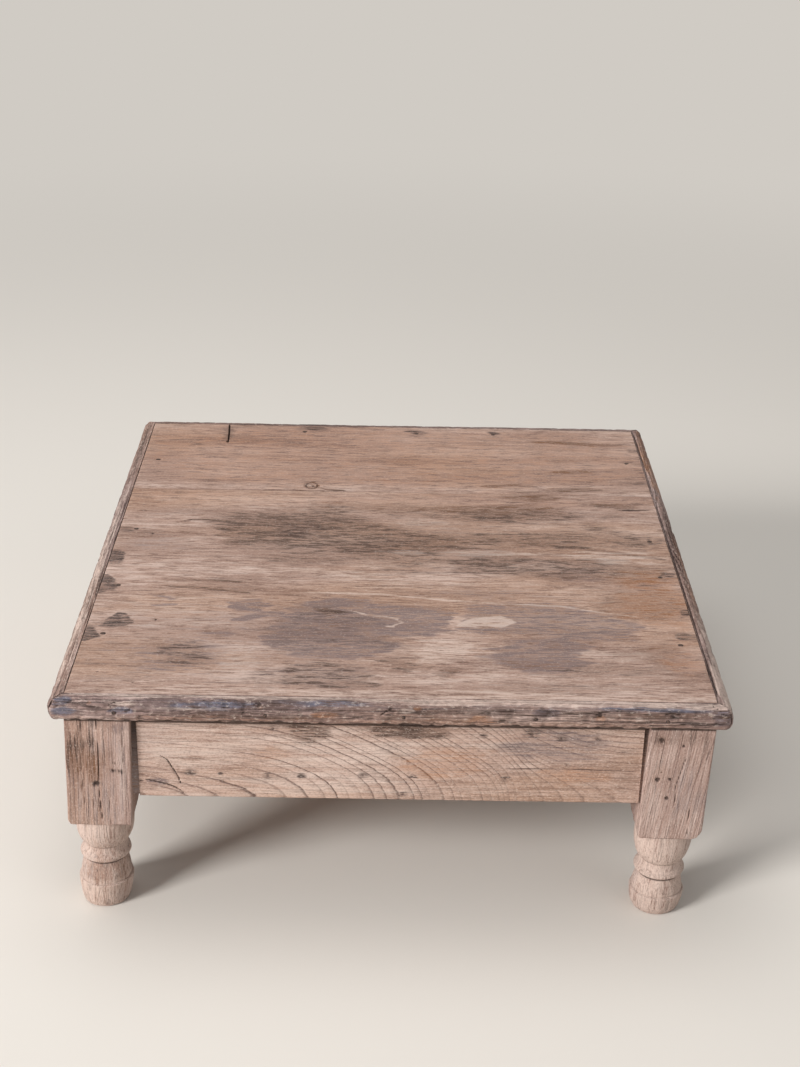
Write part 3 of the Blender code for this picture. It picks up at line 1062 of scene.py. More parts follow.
@dataclass
class TopBoard(Piece):
    """One of the two boards of the top: a fine grid above, plain below."""

    SLOT = Slot.TOP
    SHARP = 35.0
    KNOT_STRETCH = 0.75
    KNOT_REACH = 0.009
    KNOT_RING_GAP = 0.0016

    marks: FaceMarks
    wander: float
    columns: int = 318
    rows: int = 270
    ring_gap: float = 0.0034
    x_focus: tuple[Triple, ...] = ()
    y_focus: tuple[Triple, ...] = ()
    knot: tuple[float, float] | None = None
    front_reach: float = 0.0

    def rings(self, fibre: np.ndarray, noise: SmoothNoise) -> np.ndarray:
        """Growth rings that run along the board and wander, and close round its knot.

        Args:
            fibre: Points as (along, across, deep).
            noise: The board's noise.

        Returns:
            The count of rings at each point.
        """
        sway = noise.grain(fibre, 2.4, 7.0) * self.wander
        sway += noise.grain(fibre + 3.0, 9.0, 30.0) * self.wander * 0.3
        count = (fibre[:, 1] + sway) / self.ring_gap
        if self.knot is None:
            return count
        along, across = fibre[:, 0] - self.knot[0] * MM, fibre[:, 1] - self.knot[1] * MM
        away = np.hypot(along * self.KNOT_STRETCH, across)
        near = np.exp(-((away / self.KNOT_REACH) ** 2))
        return count * (1.0 - near) + near * away / self.KNOT_RING_GAP

    def shape(self) -> Shell:
        """The board, worn at its edges, with ridges, hollows and marks in its upper face."""
        low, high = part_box(self.node)
        low.y -= self.front_reach
        x_lines = gathered(low.x, high.x, self.columns, self.x_focus)
        y_lines = gathered(low.y, high.y, self.rows, self.y_focus)
        shell = Blank().slab(low, high, x_lines, y_lines).remembered().shell(self.node)
        noise = SmoothNoise(self.seed)
        fibre = shell.fibres(Grain.X)
        u, v, height = shell.blank.T
        upper = (height > high.z - MM).astype(float)
        rough = 0.8 * noise.grain(fibre, 22.0, 60.0, 3) + 0.6 * noise.grain(fibre + 5.0, 60.0, 300.0)
        face = Face(u, v, rough, noise.grain(fibre + 9.0, 11.0, 230.0, 3))
        edge = 1.0 - smooth_step(0.0, 0.0022, np.minimum.reduce([u - low.x, high.x - u, high.y - v]))
        worn = edge * (0.55 + 0.45 * noise.grain(fibre, 40.0, 40.0)) * 0.45 * MM
        ridges = noise.waves(fibre, 12.0, 300.0) * 0.11 * MM
        hollows = noise.waves(fibre + 1.7, 5.0, 14.0) * 0.25 * MM
        shell.sink(upper * (worn + ridges + hollows + self.marks.depths(face)))
        shell.dress(fibre + self.seed, self.rings(fibre, noise), self.marks.tints(face, upper))
        return shell


@dataclass
class EdgeStrip(Piece):
    """A half-round strip along one side of the top, mitred at both ends and bent round the corners."""

    SLOT = Slot.STRIP
    SHARP = 42.0
    DIRT = Weather(
        (42.0, 170.0), 0.1, ((SLATE, 1.0, 0.8), (SOOT, 3.0, 0.7), (PALE, 5.0, 0.7), (RUST, 7.0, 0.4))
    )

    side: Side
    marks: FaceMarks
    width: float = 0.012
    round_radius: float = 0.0094
    round_segments: int = 14
    corner_radius: float = 0.0065
    corner_steps: int = 14
    mitre_gap: float = 0.0001
    step: float = 0.0013
    ring_gap: float = 0.003
    roughness: float = 0.5
    mottle: float = 0.4

    def climb(self, points: np.ndarray, floor: float, top: float) -> np.ndarray:
        """Distance round the half-round face from the middle of its nose, rising upwards.

        Args:
            points: Points of the straight strip.
            floor: Height of its underside.
            top: Height of its upper face.

        Returns:
            The distance at each point, in metres.
        """
        rise, inward = points[:, 2] - (floor + top) / 2, points[:, 1]
        flat = (top - floor) / 2 - self.round_radius
        over, deep = np.maximum(np.abs(rise) - flat, 0.0), np.maximum(self.round_radius - inward, TINY)
        run = np.minimum(np.abs(rise), flat) + self.round_radius * np.arctan2(over, deep)
        return np.sign(rise) * (run + np.maximum(inward - self.round_radius, 0.0))

    def bend(self, points: np.ndarray, half: float, reach: float) -> np.ndarray:
        """Bends the straight strip's ends round the top's corners.

        Args:
            points: Points as (along, inwards from the outer face, height).
            half: Half the length of the side.
            reach: Distance of the outer face from the table's middle.

        Returns:
            The points in their place.
        """
        straight = half - 2 * self.width
        inward = points[:, 1]
        run = 2 * self.width - np.maximum(inward, self.corner_radius) - self.mitre_gap
        arm = np.maximum(self.corner_radius - inward, 0.0)
        share = np.clip((np.abs(points[:, 0]) - straight) / (half - straight), 0.0, 1.0)
        travel = share * (run + arm * math.pi / 4)
        angle = np.maximum(travel - run, 0.0) / np.maximum(arm, TINY)
        reached = np.minimum(np.abs(points[:, 0]), straight) + np.minimum(travel, run)
        bent = points.copy()
        bent[:, 0] = np.sign(points[:, 0]) * (reached + arm * np.sin(angle))
        bent[:, 1] = inward + arm * (1.0 - np.cos(angle)) - reach
        return self.side.turn(bent)

    def lines(self, half: float, cuts: int) -> np.ndarray:
        """Even places of the cuts along the straight run, with a few more in each corner."""
        straight = half - 2 * self.width
        run = np.linspace(-straight, straight, cuts + 2 - 2 * self.corner_steps)
        turn = np.linspace(straight, half, self.corner_steps + 1)[1:]
        return np.concatenate((-turn[::-1], run, turn))

    def shape(self) -> Shell:
        """The strip, dented and crumbled on its outside, with dirt over its nose and painted shade in its
        crumbs and under its lower edge.
        """
        high = CAD_BOX[1]
        half, reach = (high.x, high.y) if self.side.along_x else (high.y, high.x)
        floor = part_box(self.node)[0].z
        cuts = round(2 * half / self.step)
        blank = Blank().box((-half, 0.0, floor), (half, self.width, high.z))
        outer = blank.along(0, lambda middle: middle.y < self.width / 2)
        blank.rounded(outer, self.round_radius, self.round_segments).divided(0, cuts).divided(1, 1)
        blank.respaced(0, np.linspace(-half, half, cuts + 2), self.lines(half, cuts)).remembered()
        shell = blank.reshaped(lambda points: self.bend(points, half, reach)).merged().shell(self.node)
        noise = SmoothNoise(self.seed)
        fibre = shell.fibres(Grain.X)
        face = Face(fibre[:, 0], self.climb(fibre, floor, high.z), noise.grain(fibre, 60.0, 260.0, 3))
        outside = 1.0 - smooth_step(self.width - 0.0015, self.width - 0.0002, fibre[:, 1])
        nose = 1.0 - smooth_step(0.011, 0.0165, face.v)
        dents = smooth_step(-0.1, 0.5, noise.grain(fibre, 75.0, 210.0))
        crumbs = smooth_step(-0.1, 0.45, noise.grain(fibre + 8.0, 190.0, 300.0))
        scars = smooth_step(0.2, 0.7, noise.grain(fibre + 2.0, 24.0, 420.0))
        waves = noise.waves(fibre + 4.0, 9.0, 30.0) * 0.4 * MM
        eaten = (0.9 * dents + 1.1 * crumbs + 0.8 * scars) * self.roughness * MM
        shell.sink(outside * (eaten * (0.25 + 0.75 * nose) + waves + self.marks.depths(face)))
        tints = self.marks.tints(face, outside)
        tints.weather(self.DIRT, noise, fibre, self.mottle * outside * nose)
        # Painted shade in the sunk crumbs and scars of the nose
        sunk = smooth_step(0.45, 1.0, crumbs) * 0.4 + smooth_step(0.5, 1.0, scars) * 0.5
        tints.add(HOLLOW, outside * nose * sunk * self.roughness)
        # Painted shade on the down-turned underside of the strip's lower edge
        tints.lay(HOLLOW, outside * smooth_step(0.0078, 0.0108, -face.v) * 0.9)
        rings = fibre[:, 1] + 0.6 * fibre[:, 2] + 0.002 * noise.grain(fibre, 4.0, 30.0)
        shell.dress(fibre + self.seed, rings / self.ring_gap, tints)
        return shell


@dataclass
class Apron(Piece):
    """A board between two legs, with a short tenon that shows in the open joint at each end."""

    SLOT = Slot.APRON
    SHARP = 45.0
    DIRT = Weather((7.0, 40.0), 0.0, ((SLATE, 4.0, 0.55), (SOOT, 6.0, 0.6), (PALE, 8.0, 0.4)))
    # How far the box of the node reaches past the apron's shoulders
    TENON_REACH = 0.0239
    TENON_OVERLAP = 0.002
    # Lean of the nested arches by place along the board, in millimetres
    ARCH_SLOPES = (
        (-210, 0.06), (-185, 0.06), (-100, 0.12), (-40, 0.32), (75, 0.44), (99, 0.75), (117, 0.30),
        (188, 0.06), (210, 0.06),
    )
    ARCH_DROP = 0.002
    ARCH_RADIUS = 0.060

    side: Side
    shoulder: float
    marks: FaceMarks = field(default_factory=FaceMarks)
    step: float = 0.0022
    rows: int = 34
    arris: float = 0.0016
    z_focus: tuple[Triple, ...] = ()
    cathedral: bool = False
    ring_gap: float = 0.0033
    tenon_setback: float = 0.0018
    tenon_shoulder: float = 0.0012

    def rings(self, fibre: np.ndarray, noise: SmoothNoise, bottom: float) -> np.ndarray:
        """Growth rings: nested arches where the board is cut across the log, or long straight lines.

        Args:
            fibre: Points as (along, across, deep).
            noise: The board's noise.
            bottom: Height of the lower edge.

        Returns:
            The count of rings at each point.
        """
        sway = 0.0028 * noise.grain(fibre, 7.0, 18.0)
        rise = fibre[:, 2] - bottom
        if not self.cathedral:
            return (rise + 0.5 * fibre[:, 1] + 3.0 * sway) / self.ring_gap
        places, slopes = np.array(self.ARCH_SLOPES).T
        steps = np.linspace(places[0] * MM, places[-1] * MM, 400)
        slope = np.interp(steps, places * MM, slopes)
        drift = np.concatenate(([0.0], np.cumsum((slope[1:] + slope[:-1]) / 2 * np.diff(steps))))
        arch = np.hypot(rise + self.ARCH_DROP, self.ARCH_RADIUS)
        count = (arch + np.interp(fibre[:, 0], steps, drift) + sway) / self.ring_gap
        years = np.stack([count * 0.55, np.zeros_like(count), np.zeros_like(count)], axis=1)
        return count + 0.5 * noise.at(years)

    def board(self, start: np.ndarray, end: np.ndarray) -> Blank:
        """The plain board with a short tenon at each end.

        Args:
            start: Lowest corner of the node's box, turned to the front.
            end: Its highest corner.

        Returns:
            The blank.
        """
        inner = self.shoulder + self.TENON_REACH
        left, right = start[0] + inner, end[0] - inner
        blank = Blank().box((left, *start[1:]), (right, *end[1:]))
        blank.rounded(blank.along(0, lambda middle: middle.z < start[2] + MM), self.arris, 3)
        blank.divided(0, round((right - left) / self.step)).divided(2, self.rows)
        if self.z_focus:
            lowest = start[2] + self.arris
            crowded = gathered(lowest, end[2], self.rows + 1, self.z_focus)
            blank.respaced(2, np.linspace(lowest, end[2], self.rows + 2), crowded)
        reach = (inner - self.shoulder * 0.2) * 0.4
        inset = np.array([0.0, self.tenon_setback, self.tenon_shoulder])
        spans = ((left - reach, left + self.TENON_OVERLAP), (right - self.TENON_OVERLAP, right + reach))
        for near, far in spans:
            blank.box((near, *(start + inset)[1:]), (far, *(end - inset)[1:]))
        return blank.remembered()

    def shape(self) -> Shell:
        """The apron, with furrows along its rings and marks on its front."""
        start, end = self.side.front_box(self.node)
        if not self.side.along_x:
            start[1] += LEAN * (end[2] - start[2])
        shell = self.board(start, end).shell(self.node)
        noise = SmoothNoise(self.seed)
        fibre = shell.fibres(Grain.X)
        face = Face(fibre[:, 0], fibre[:, 2] - start[2], noise.grain(fibre, 60.0, 160.0, 3))
        front = (shell.normals[:, 1] < -0.3).astype(float)
        rings = self.rings(fibre, noise, start[2])
        phase = rings % 1.0
        furrows = smooth_step(0.6, 0.92, phase) * (1.0 - smooth_step(0.95, 1.0, phase)) * 0.16 * MM
        ridges = noise.waves(fibre, 16.0, 320.0) * 0.12 * MM
        hollows = noise.waves(fibre + 1.7, 7.0, 22.0) * 0.3 * MM
        shell.sink(furrows + ridges + hollows + front * self.marks.depths(face))
        tints = self.marks.tints(face, front)
        if not self.cathedral:
            tints.weather(self.DIRT, noise, fibre)
        middle, half = (start[1] + end[1]) / 2, (end[1] - start[1]) / 2
        tenon = np.abs(np.abs(fibre[:, 1] - middle) - half + self.tenon_setback) < ON_PLANE
        # The tenon in the left joint is painted pale and blue-grey, lighter than the right one: painted
        # light inside the shaded gap. The slate on every tenon is its own colour.
        left = tenon & (face.u < 0.0)
        for tint, strength, where in ((SLATE, 0.5, tenon), (BLUED, 0.55, left), (PALE, 0.5, left)):
            tints[tint] = np.where(where, strength, tints[tint])
        shell.points = self.side.turn(shell.points)
        if not self.side.along_x:
            shell.points = leaned(shell.points)
        shell.dress(fibre + self.seed, rings, tints)
        return shell


@dataclass
class Leg(Piece):
    """A square post and its turned foot, one piece of wood that leans with the frame."""

    SLOT = Slot.LEG
    SHARP = 40.0
    DIRT = Weather((12.0, 70.0), 0.0, ((SLATE, 5.0, 0.55), (SOOT, 7.0, 0.5)))
    # Radius and height of the drawn foot, in millimetres: bowl, cove, lip, vase and band
    FOOT = (
        (23.0, 84.5), (23.2, 80.0), (23.4, 74.0), (23.1, 68.0), (22.3, 62.5), (20.9, 57.6), (19.3, 54.2),
        (18.0, 52.6), (17.4, 52.3), (17.0, 51.6), (16.9, 50.0), (17.2, 48.0), (17.9, 46.0), (18.9, 44.4),
        (19.9, 43.2), (20.4, 42.2), (20.5, 41.2), (20.2, 40.2), (19.3, 39.4), (17.8, 39.0), (17.0, 38.7),
        (16.9, 38.1), (17.3, 36.8), (18.2, 33.6), (19.2, 30.0), (20.0, 26.4), (20.4, 23.4), (20.4, 21.6),
        (20.2, 21.0), (20.3, 20.6), (21.2, 20.3), (21.8, 19.8), (22.0, 18.8), (21.9, 16.4), (21.5, 12.4),
        (20.9, 8.4), (20.2, 5.0), (19.4, 2.4), (18.6, 0.9), (17.7, 0.2), (16.9, 0.0),
    )
    FOOT_STEPS = 190
    # Height in millimetres and darkness of the painted shade in the creases between its parts
    CREASE_SHADE = ((37.5, 0.9), (20.9, 0.22), (52.2, 0.5))
    # Lower and upper rim of its vase, in millimetres
    VASE = (21.5, 38.0)
    # Half the width that only the post reaches
    FOOT_REACH = 0.0236
    SLANT_HEIGHT = 0.13
    PITH = (0.09, -0.05)

    left: bool
    front: bool
    marks: FaceMarks = field(default_factory=FaceMarks)
    shift: float = 0.0
    lip_lift: float = 0.0
    slant: float = 0.0
    furrow: float = 0.3
    # Share by which the vase of the foot is made darker all round
    vase_darkening: float = 0.4
    knocked: tuple[float, float] = (0.0, 0.0)
    side: float = 0.051
    foot_height: float = 0.082
    arris: float = 0.0016
    lower_arris: float = 0.0007
    ring_gap: float = 0.0042
    cuts: int = 52
    rows: int = 72
    facets: int = 96

    def raised(self, heights: np.ndarray) -> np.ndarray:
        """Heights on the drawn foot moved to where this leg has them, in millimetres."""
        lift = smooth_step(20.0, 36.0, heights) * (1.0 - smooth_step(50.0, 72.0, heights))
        moved = heights + lift * self.lip_lift / MM
        return moved + smooth_step(0.0, 12.0, moved) * self.shift / MM

    def profile(self) -> list[tuple[float, float]]:
        """The turned foot from inside the post down to the sole.

        Returns:
            Points as (radius, height), both ends on the axis.
        """
        shape = np.array(self.FOOT)
        shape[:, 1] = self.raised(shape[:, 1])
        rises = np.concatenate(([0.0], np.cumsum(np.hypot(*np.diff(shape, axis=0).T))))
        fine = np.linspace(0.0, rises[-1], self.FOOT_STEPS)
        radius, height = (np.interp(fine, rises, values) * MM for values in shape.T)
        upper = [(0.0, height[0]), (radius[0] * 0.5, height[0])]
        return [*upper, *zip(radius, height), (radius[-1] * 0.5, 0.0), (0.0, 0.0)]

    def knocked_round(self, points: np.ndarray, axis: Vector, base: float) -> np.ndarray:
        """Points of the post with its lower corners worn round in front.

        Args:
            points: Points of the square post.
            axis: The leg's axis on the floor.
            base: Height of the post's lower end.

        Returns:
            The moved points.
        """
        place = points - np.array(axis)
        radius = np.where(place[:, 0] > 0.0, self.knocked[1], self.knocked[0])
        aside = np.maximum(radius - self.side / 2 + np.abs(place[:, 0]), 0.0)
        below = np.maximum(radius + base - place[:, 2], 0.0)
        round_off = 1.0 - np.maximum(aside, below) / np.maximum(np.hypot(aside, below), TINY)
        round_off *= 1.0 - smooth_step(0.004, 0.030, self.side / 2 + place[:, 1])
        moved = points.copy()
        moved[:, 0] -= np.sign(place[:, 0]) * aside * round_off
        moved[:, 2] += below * round_off
        return moved

    def post_and_foot(self, axis: Vector, base: float) -> Blank:
        """The plain post with its turned foot.

        Args:
            axis: The leg's axis on the floor.
            base: Height of the post's lower end.

        Returns:
            The blank.
        """
        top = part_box(self.node)[1].z
        reach = Vector((self.side / 2, self.side / 2, 0.0))
        blank = Blank().box(axis - reach + UP * base, axis + reach + UP * top)
        blank.rounded(blank.along(2), self.arris, 3)
        lower = [blank.along(run, lambda middle: middle.z < base + ON_PLANE) for run in (0, 1)]
        blank.rounded(lower[0] + lower[1], self.lower_arris, 2)
        blank.divided(0, self.cuts).divided(1, self.cuts).divided(2, self.rows)
        blank.reshaped(lambda points: self.knocked_round(points, axis, base))
        return blank.turned(self.profile(), axis, self.facets).remembered()

    def soil_and_shade_foot(
        self, tints: Tints, noise: SmoothNoise, fibre: np.ndarray, foot: np.ndarray, checks: np.ndarray
    ) -> None:
        """Lays painted shade into the creases and drying cracks of the foot, darkens its vase, and lays
        dust and rust on its rounds.

        Args:
            tints: The leg's stains.
            noise: The leg's noise.
            fibre: Points as (along, across, deep).
            foot: 1 for points on the foot and 0 for others.
            checks: How deep the drying cracks are, 0 to 1.
        """
        height = fibre[:, 0]
        heights, darkness = np.array(self.CREASE_SHADE).T
        away = height[:, None] / MM - self.raised(heights)
        creases = (np.exp(-(away**2)) * darkness).max(axis=1)
        # Painted shade in the creases of the foot and in its drying cracks
        tints.lay(HOLLOW, foot * np.maximum(creases, smooth_step(0.4, 1.0, checks) * 0.4))
        tints.lay(BLUED, foot * (0.3 + 0.4 * noise.grain(fibre + 4.0, 30.0, 60.0)))
        # The vase is made darker all round by the leg's own share
        low, high = self.raised(np.array(self.VASE)) * MM
        vase = smooth_step(low, low + 0.004, height) * (1.0 - smooth_step(high - 0.002, high, height))
        vase *= foot * self.vase_darkening * (0.75 + 0.5 * noise.grain(fibre + 8.0, 14.0, 120.0))
        tints.lay(SOOT, vase)
        dusty = np.clip(0.9 + 0.5 * noise.grain(fibre, 20.0, 50.0), 0.0, 1.0)
        tints.lay(PALE, foot * dusty * (1.0 - np.clip(vase, 0.0, 1.0)))
        reddish = smooth_step(-0.2, 0.6, noise.grain(fibre, 30.0, 60.0))
        tints.lay(RUST, foot * reddish * (1.0 - smooth_step(0.006, 0.03, height)) * 0.5)

    def shape(self) -> Shell:
        """The leg, with furrows and marks in its post and tool lines round its foot."""
        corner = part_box("leg_back_right")[1]
        half_x, half_y = corner.x - self.side / 2, corner.y - self.side / 2
        axis = Vector((-half_x if self.left else half_x, -half_y if self.front else half_y, 0.0))
        base = self.foot_height + self.shift
        shell = self.post_and_foot(axis, base).shell(self.node)
        noise = SmoothNoise(self.seed)
        x, y, height = (shell.blank - np.array(axis)).T
        tilt = self.slant * (np.maximum(height, base) - self.SLANT_HEIGHT)
        fibre = np.stack([height, x - tilt, y], axis=1)
        widest = np.maximum(np.abs(x), np.abs(y))
        post = ((height > base - ON_PLANE) & (widest > self.FOOT_REACH)).astype(float)
        faces_front = (shell.normals[:, 1] < -0.5).astype(float) * post
        face = Face(x, height, noise.grain(fibre, 60.0, 200.0, 3))
        lines = noise.grain(fibre, 11.0, 460.0)
        grooves = smooth_step(0.15, 0.7, lines) * self.furrow * MM
        furrows = noise.waves(fibre + 3.0, 55.0, 420.0) * 0.3 * MM
        hollows = noise.waves(fibre + 6.0, 10.0, 30.0) * 0.4 * MM
        bottom = 1.0 - smooth_step(0.0, 0.004, height - base)
        ragged = bottom * noise.waves(fibre + 2.0, 10.0, 160.0) * 0.9 * MM
        cuts = self.marks.depths(face) * faces_front
        tool_lines = 0.5 + 0.5 * noise.at(np.stack([height * 900, x * 12, y * 12], axis=1))
        checks = smooth_step(0.2, 0.65, noise.grain(fibre + 9.0, 16.0, 260.0))
        turned = (tool_lines * 0.1 * MM + checks * 0.3 * MM) * (height > MM)
        shell.sink(post * (grooves + furrows + hollows + ragged + cuts) + (1.0 - post) * turned)
        tints = self.marks.tints(face, faces_front)
        tints.weather(self.DIRT, noise, fibre, post * (1.0 - faces_front))
        # Painted shade in the post's grooves
        tints.add(HOLLOW, post * smooth_step(0.4, 0.8, lines) * self.furrow)
        self.soil_and_shade_foot(tints, noise, fibre, 1.0 - post, checks)
        rings = np.hypot(fibre[:, 1] - self.PITH[0], fibre[:, 2] - self.PITH[1])
        rings = (rings + 0.0015 * noise.grain(fibre, 9.0, 40.0)) / self.ring_gap
        shell.points = leaned(shell.points)
        shell.dress(fibre + self.seed, rings, tints)
        return shell


@dataclass
class Peg(Piece):
    """A whittled peg through a leg into a tenon, with its dark end grain showing."""

    SLOT = Slot.PEG
    SHARP = 40.0

    side: Side
    facets: int = 12
    pith_offset: float = 0.001
    ring_gap: float = 0.0009

    def shape(self) -> Shell:
        """The peg, turned, laid down and roughly whittled."""
        start, end = map(Vector, self.side.front_box(self.node))
        radius, length = (end.z - start.z) / 2, end.y - start.y
        centre = Vector(((start.x + end.x) / 2, start.y, (start.z + end.z) / 2))
        profile = [
            (0.0, 0.0), (radius * 0.55, 0.0), (radius * 0.9, -0.00018), (radius * 0.99, -0.0006),
            (radius * 0.97, -length * 0.5), (radius * 0.86, -length), (0.0, -length),
        ]
        blank = Blank().turned(profile, Vector(), self.facets)
        shell = blank.moved(Matrix.Rotation(math.pi / 2, 3, "X"), centre).remembered().shell(self.node)
        noise = SmoothNoise(self.seed)
        fibre = shell.fibres(Grain.Y)
        shell.sink(noise.waves(fibre, 60.0, 700.0) * 0.16 * MM)
        shell.points = self.side.turn(shell.points)
        rings = np.hypot(fibre[:, 1] - centre.x - self.pith_offset, fibre[:, 2] - centre.z) / self.ring_gap
        shell.dress(fibre + self.seed, rings, Tints.clean(len(rings)))
        return shell


@dataclass
class Nail(Piece):
    """A hand-made nail or brad, with a hammered head above a tapering shank."""

    SLOT = Slot.IRON
    SHARP = 50.0
    HAMMER_CELLS = 900.0

    head_thickness: float
    shank_radius: float
    facets: int = 12

    def shape(self) -> Shell:
        """The nail, turned and driven in from outside or above."""
        low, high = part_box(self.node)
        size, centre = high - low, (low + high) / 2
        along = max(range(3), key=lambda axis: size[axis])
        head = min(size[axis] for axis in range(3) if axis != along) / 2
        length = size[along]
        profile = [
            (0.0, 0.0), (head * 0.5, -0.00003), (head * 0.86, -0.00016), (head * 0.98, -0.00042),
            (head * 0.96, -self.head_thickness), (self.shank_radius, -self.head_thickness * 1.15),
            (self.shank_radius * 0.95, -length * 0.8), (self.shank_radius * 0.3, -length), (0.0, -length),
        ]
        outward = UP.copy()
        if along != 2:
            outward = Vector(centre[axis] if axis == along else 0.0 for axis in range(3)).normalized()
        blank = Blank().turned(profile, Vector(), self.facets)
        blank.moved(UP.rotation_difference(outward).to_matrix(), centre + outward * length / 2)
        shell = blank.remembered().shell(self.node)
        hammered = SmoothNoise(self.seed).at(shell.blank * self.HAMMER_CELLS + self.seed)
        shell.sink((0.5 + 0.5 * hammered) * 0.14 * MM)
        return shell


@dataclass(frozen=True)
class Studio:
    """Pale floor, soft lamps and the camera."""

    FLOOR_REACH: ClassVar[float] = 30.0
    SENSOR_WIDTH: ClassVar[float] = 36.0
    # Distances from the table between which the floor turns into the backdrop
    FADE: ClassVar[tuple[float, float]] = (0.7, 2.4)
    AIM: ClassVar[Triple] = (0.0, 0.0, 0.1)
    # Name, place, side, watts and linear colour of each lamp
    LAMPS: ClassVar[tuple[tuple[str, Triple, float, float, Triple], ...]] = (
        ("key", (-3.68, -3.04, 2.34), 1.45, 274.0, (1.0, 0.985, 0.97)),
        ("fill", (1.9, -1.5, 1.8), 1.8, 8.0, (0.96, 0.98, 1.0)),
        ("overhead", (-0.4, 0.3, 2.7), 2.0, 31.0, (1.0, 0.99, 0.98)),
    )

    floor_colour: Colour = srgb(222, 217, 210)
    backdrop_colour: Colour = srgb(208, 203, 196)
    sky_colour: Colour = (0.27, 0.2673, 0.2619, 1.0)
    focal_length: float = 58.0
    camera_place: Triple = (-0.0071, -1.3920, 0.8829)
    pitch: float = 25.709
    yaw: float = 0.564
    roll: float = 1.2

    def floor(self) -> None:
        """A wide plain floor under the table."""
        bm = bmesh.new()
        bmesh.ops.create_grid(bm, x_segments=1, y_segments=1, size=self.FLOOR_REACH)
        mesh = bpy.data.meshes.new("floor")
        bm.to_mesh(mesh)
        bm.free()
        material = bpy.data.materials.new("floor")
        graph = ShaderGraph(material)
        paint = {"Base Color": self.floor_colour, "Roughness": 0.9}
        matt = graph.signal("ShaderNodeBsdfPrincipled", "BSDF", {}, paint)
        glow = graph.signal("ShaderNodeEmission", "Emission", {}, {"Color": self.backdrop_colour})
        reach = graph.signal("ShaderNodeVectorMath", "Value", {"operation": "LENGTH"}, {0: graph.place()})
        share = reach.eased(*self.FADE) * graph.seen()
        graph.end(graph.signal("ShaderNodeMixShader", "Shader", {}, {0: share, 1: matt, 2: glow}))
        mesh.materials.append(material)
        floor = placed("floor", mesh)

    def lamps(self) -> None:
        """Square lamps that face the table."""
        for name, place, size, power, colour in self.LAMPS:
            light = bpy.data.lights.new(name, "AREA")
            light.size = size
            light.energy = power
            light.color = colour
            lamp = placed(name, light)
            lamp.location = place
            lamp.rotation_euler = (Vector(self.AIM) - lamp.location).to_track_quat("-Z", "Y").to_euler()

    def sky(self) -> None:
        """A dim even sky that the camera sees in the backdrop's colour."""
        world = bpy.data.worlds.new("studio")
        graph = ShaderGraph(world)
        colour = graph.seen().blend(self.sky_colour, self.backdrop_colour)
        glow = graph.signal("ShaderNodeBackground", "Background", {}, {"Color": colour})
        graph.end(glow, "ShaderNodeOutputWorld")
        bpy.context.scene.world = world

    def camera(self) -> None:
        """The camera that looks down at the table from in front."""
        data = bpy.data.cameras.new("camera")
        data.sensor_width = self.SENSOR_WIDTH
        data.lens = self.focal_length
        camera = placed("camera", data)
        turn = Matrix.Rotation(math.radians(-self.yaw), 4, "Z")
        tilt = Matrix.Rotation(math.radians(90.0 - self.pitch), 4, "X")
        level = Matrix.Rotation(math.radians(self.roll), 4, "Z")
        camera.matrix_world = Matrix.Translation(self.camera_place) @ turn @ tilt @ level
        bpy.context.scene.camera = camera

    def build(self) -> None:
        """Sets up the floor, the lamps, the sky and the camera."""
        self.floor()
        self.lamps()
        self.sky()
        bpy.context.scene.view_settings.view_transform = "Standard"
        self.camera()


def several(kind: type, rows: Iterable[tuple], **shared: Any) -> list[Any]:
    """Marks of one kind, from rows of their first values and the values that they share."""
    return [kind(*row, **shared) for row in rows]


def tinted(kind: type, rows: dict[Tint, Iterable[tuple]]) -> list[Any]:
    """Stains of one kind, from rows of their values by tint."""
    return [stain for tint, spots in rows.items() for stain in several(kind, spots, tint=tint)]


def middle_of(node: str, side: Side = Side.FRONT) -> np.ndarray:
    """The middle of a node's box, turned from its side to the front, in millimetres."""
    return np.mean(side.front_box(node), axis=0) / MM


def nail_seats(board: str) -> list[Pit]:
    """The seats of the nails in a board of the top."""
    low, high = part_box(board)
    spots = [middle_of(node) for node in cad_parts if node.startswith("nail_")]
    return [Pit(x, y, *NAIL_SEAT) for x, y, _ in spots if low.y < y * MM < high.y]


def brad_seats(side: Side) -> list[Pit]:
    """The seats of the brads in a strip, as marks along it."""
    brads = [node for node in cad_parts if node.startswith(f"brad_{side.name.lower()}_")]
    return [Pit(middle_of(node, side)[0], 0.0, *BRAD_SEAT) for node in brads]


def overhang_shade(height: float, width: float) -> Stain:
    """The painted shade under the top's overhang: a dark strip at a height on a face of some width."""
    return Stain(0, height, width, 10, 0.9, 0, 0.1, 0.1, 8.0, tint=HOLLOW)


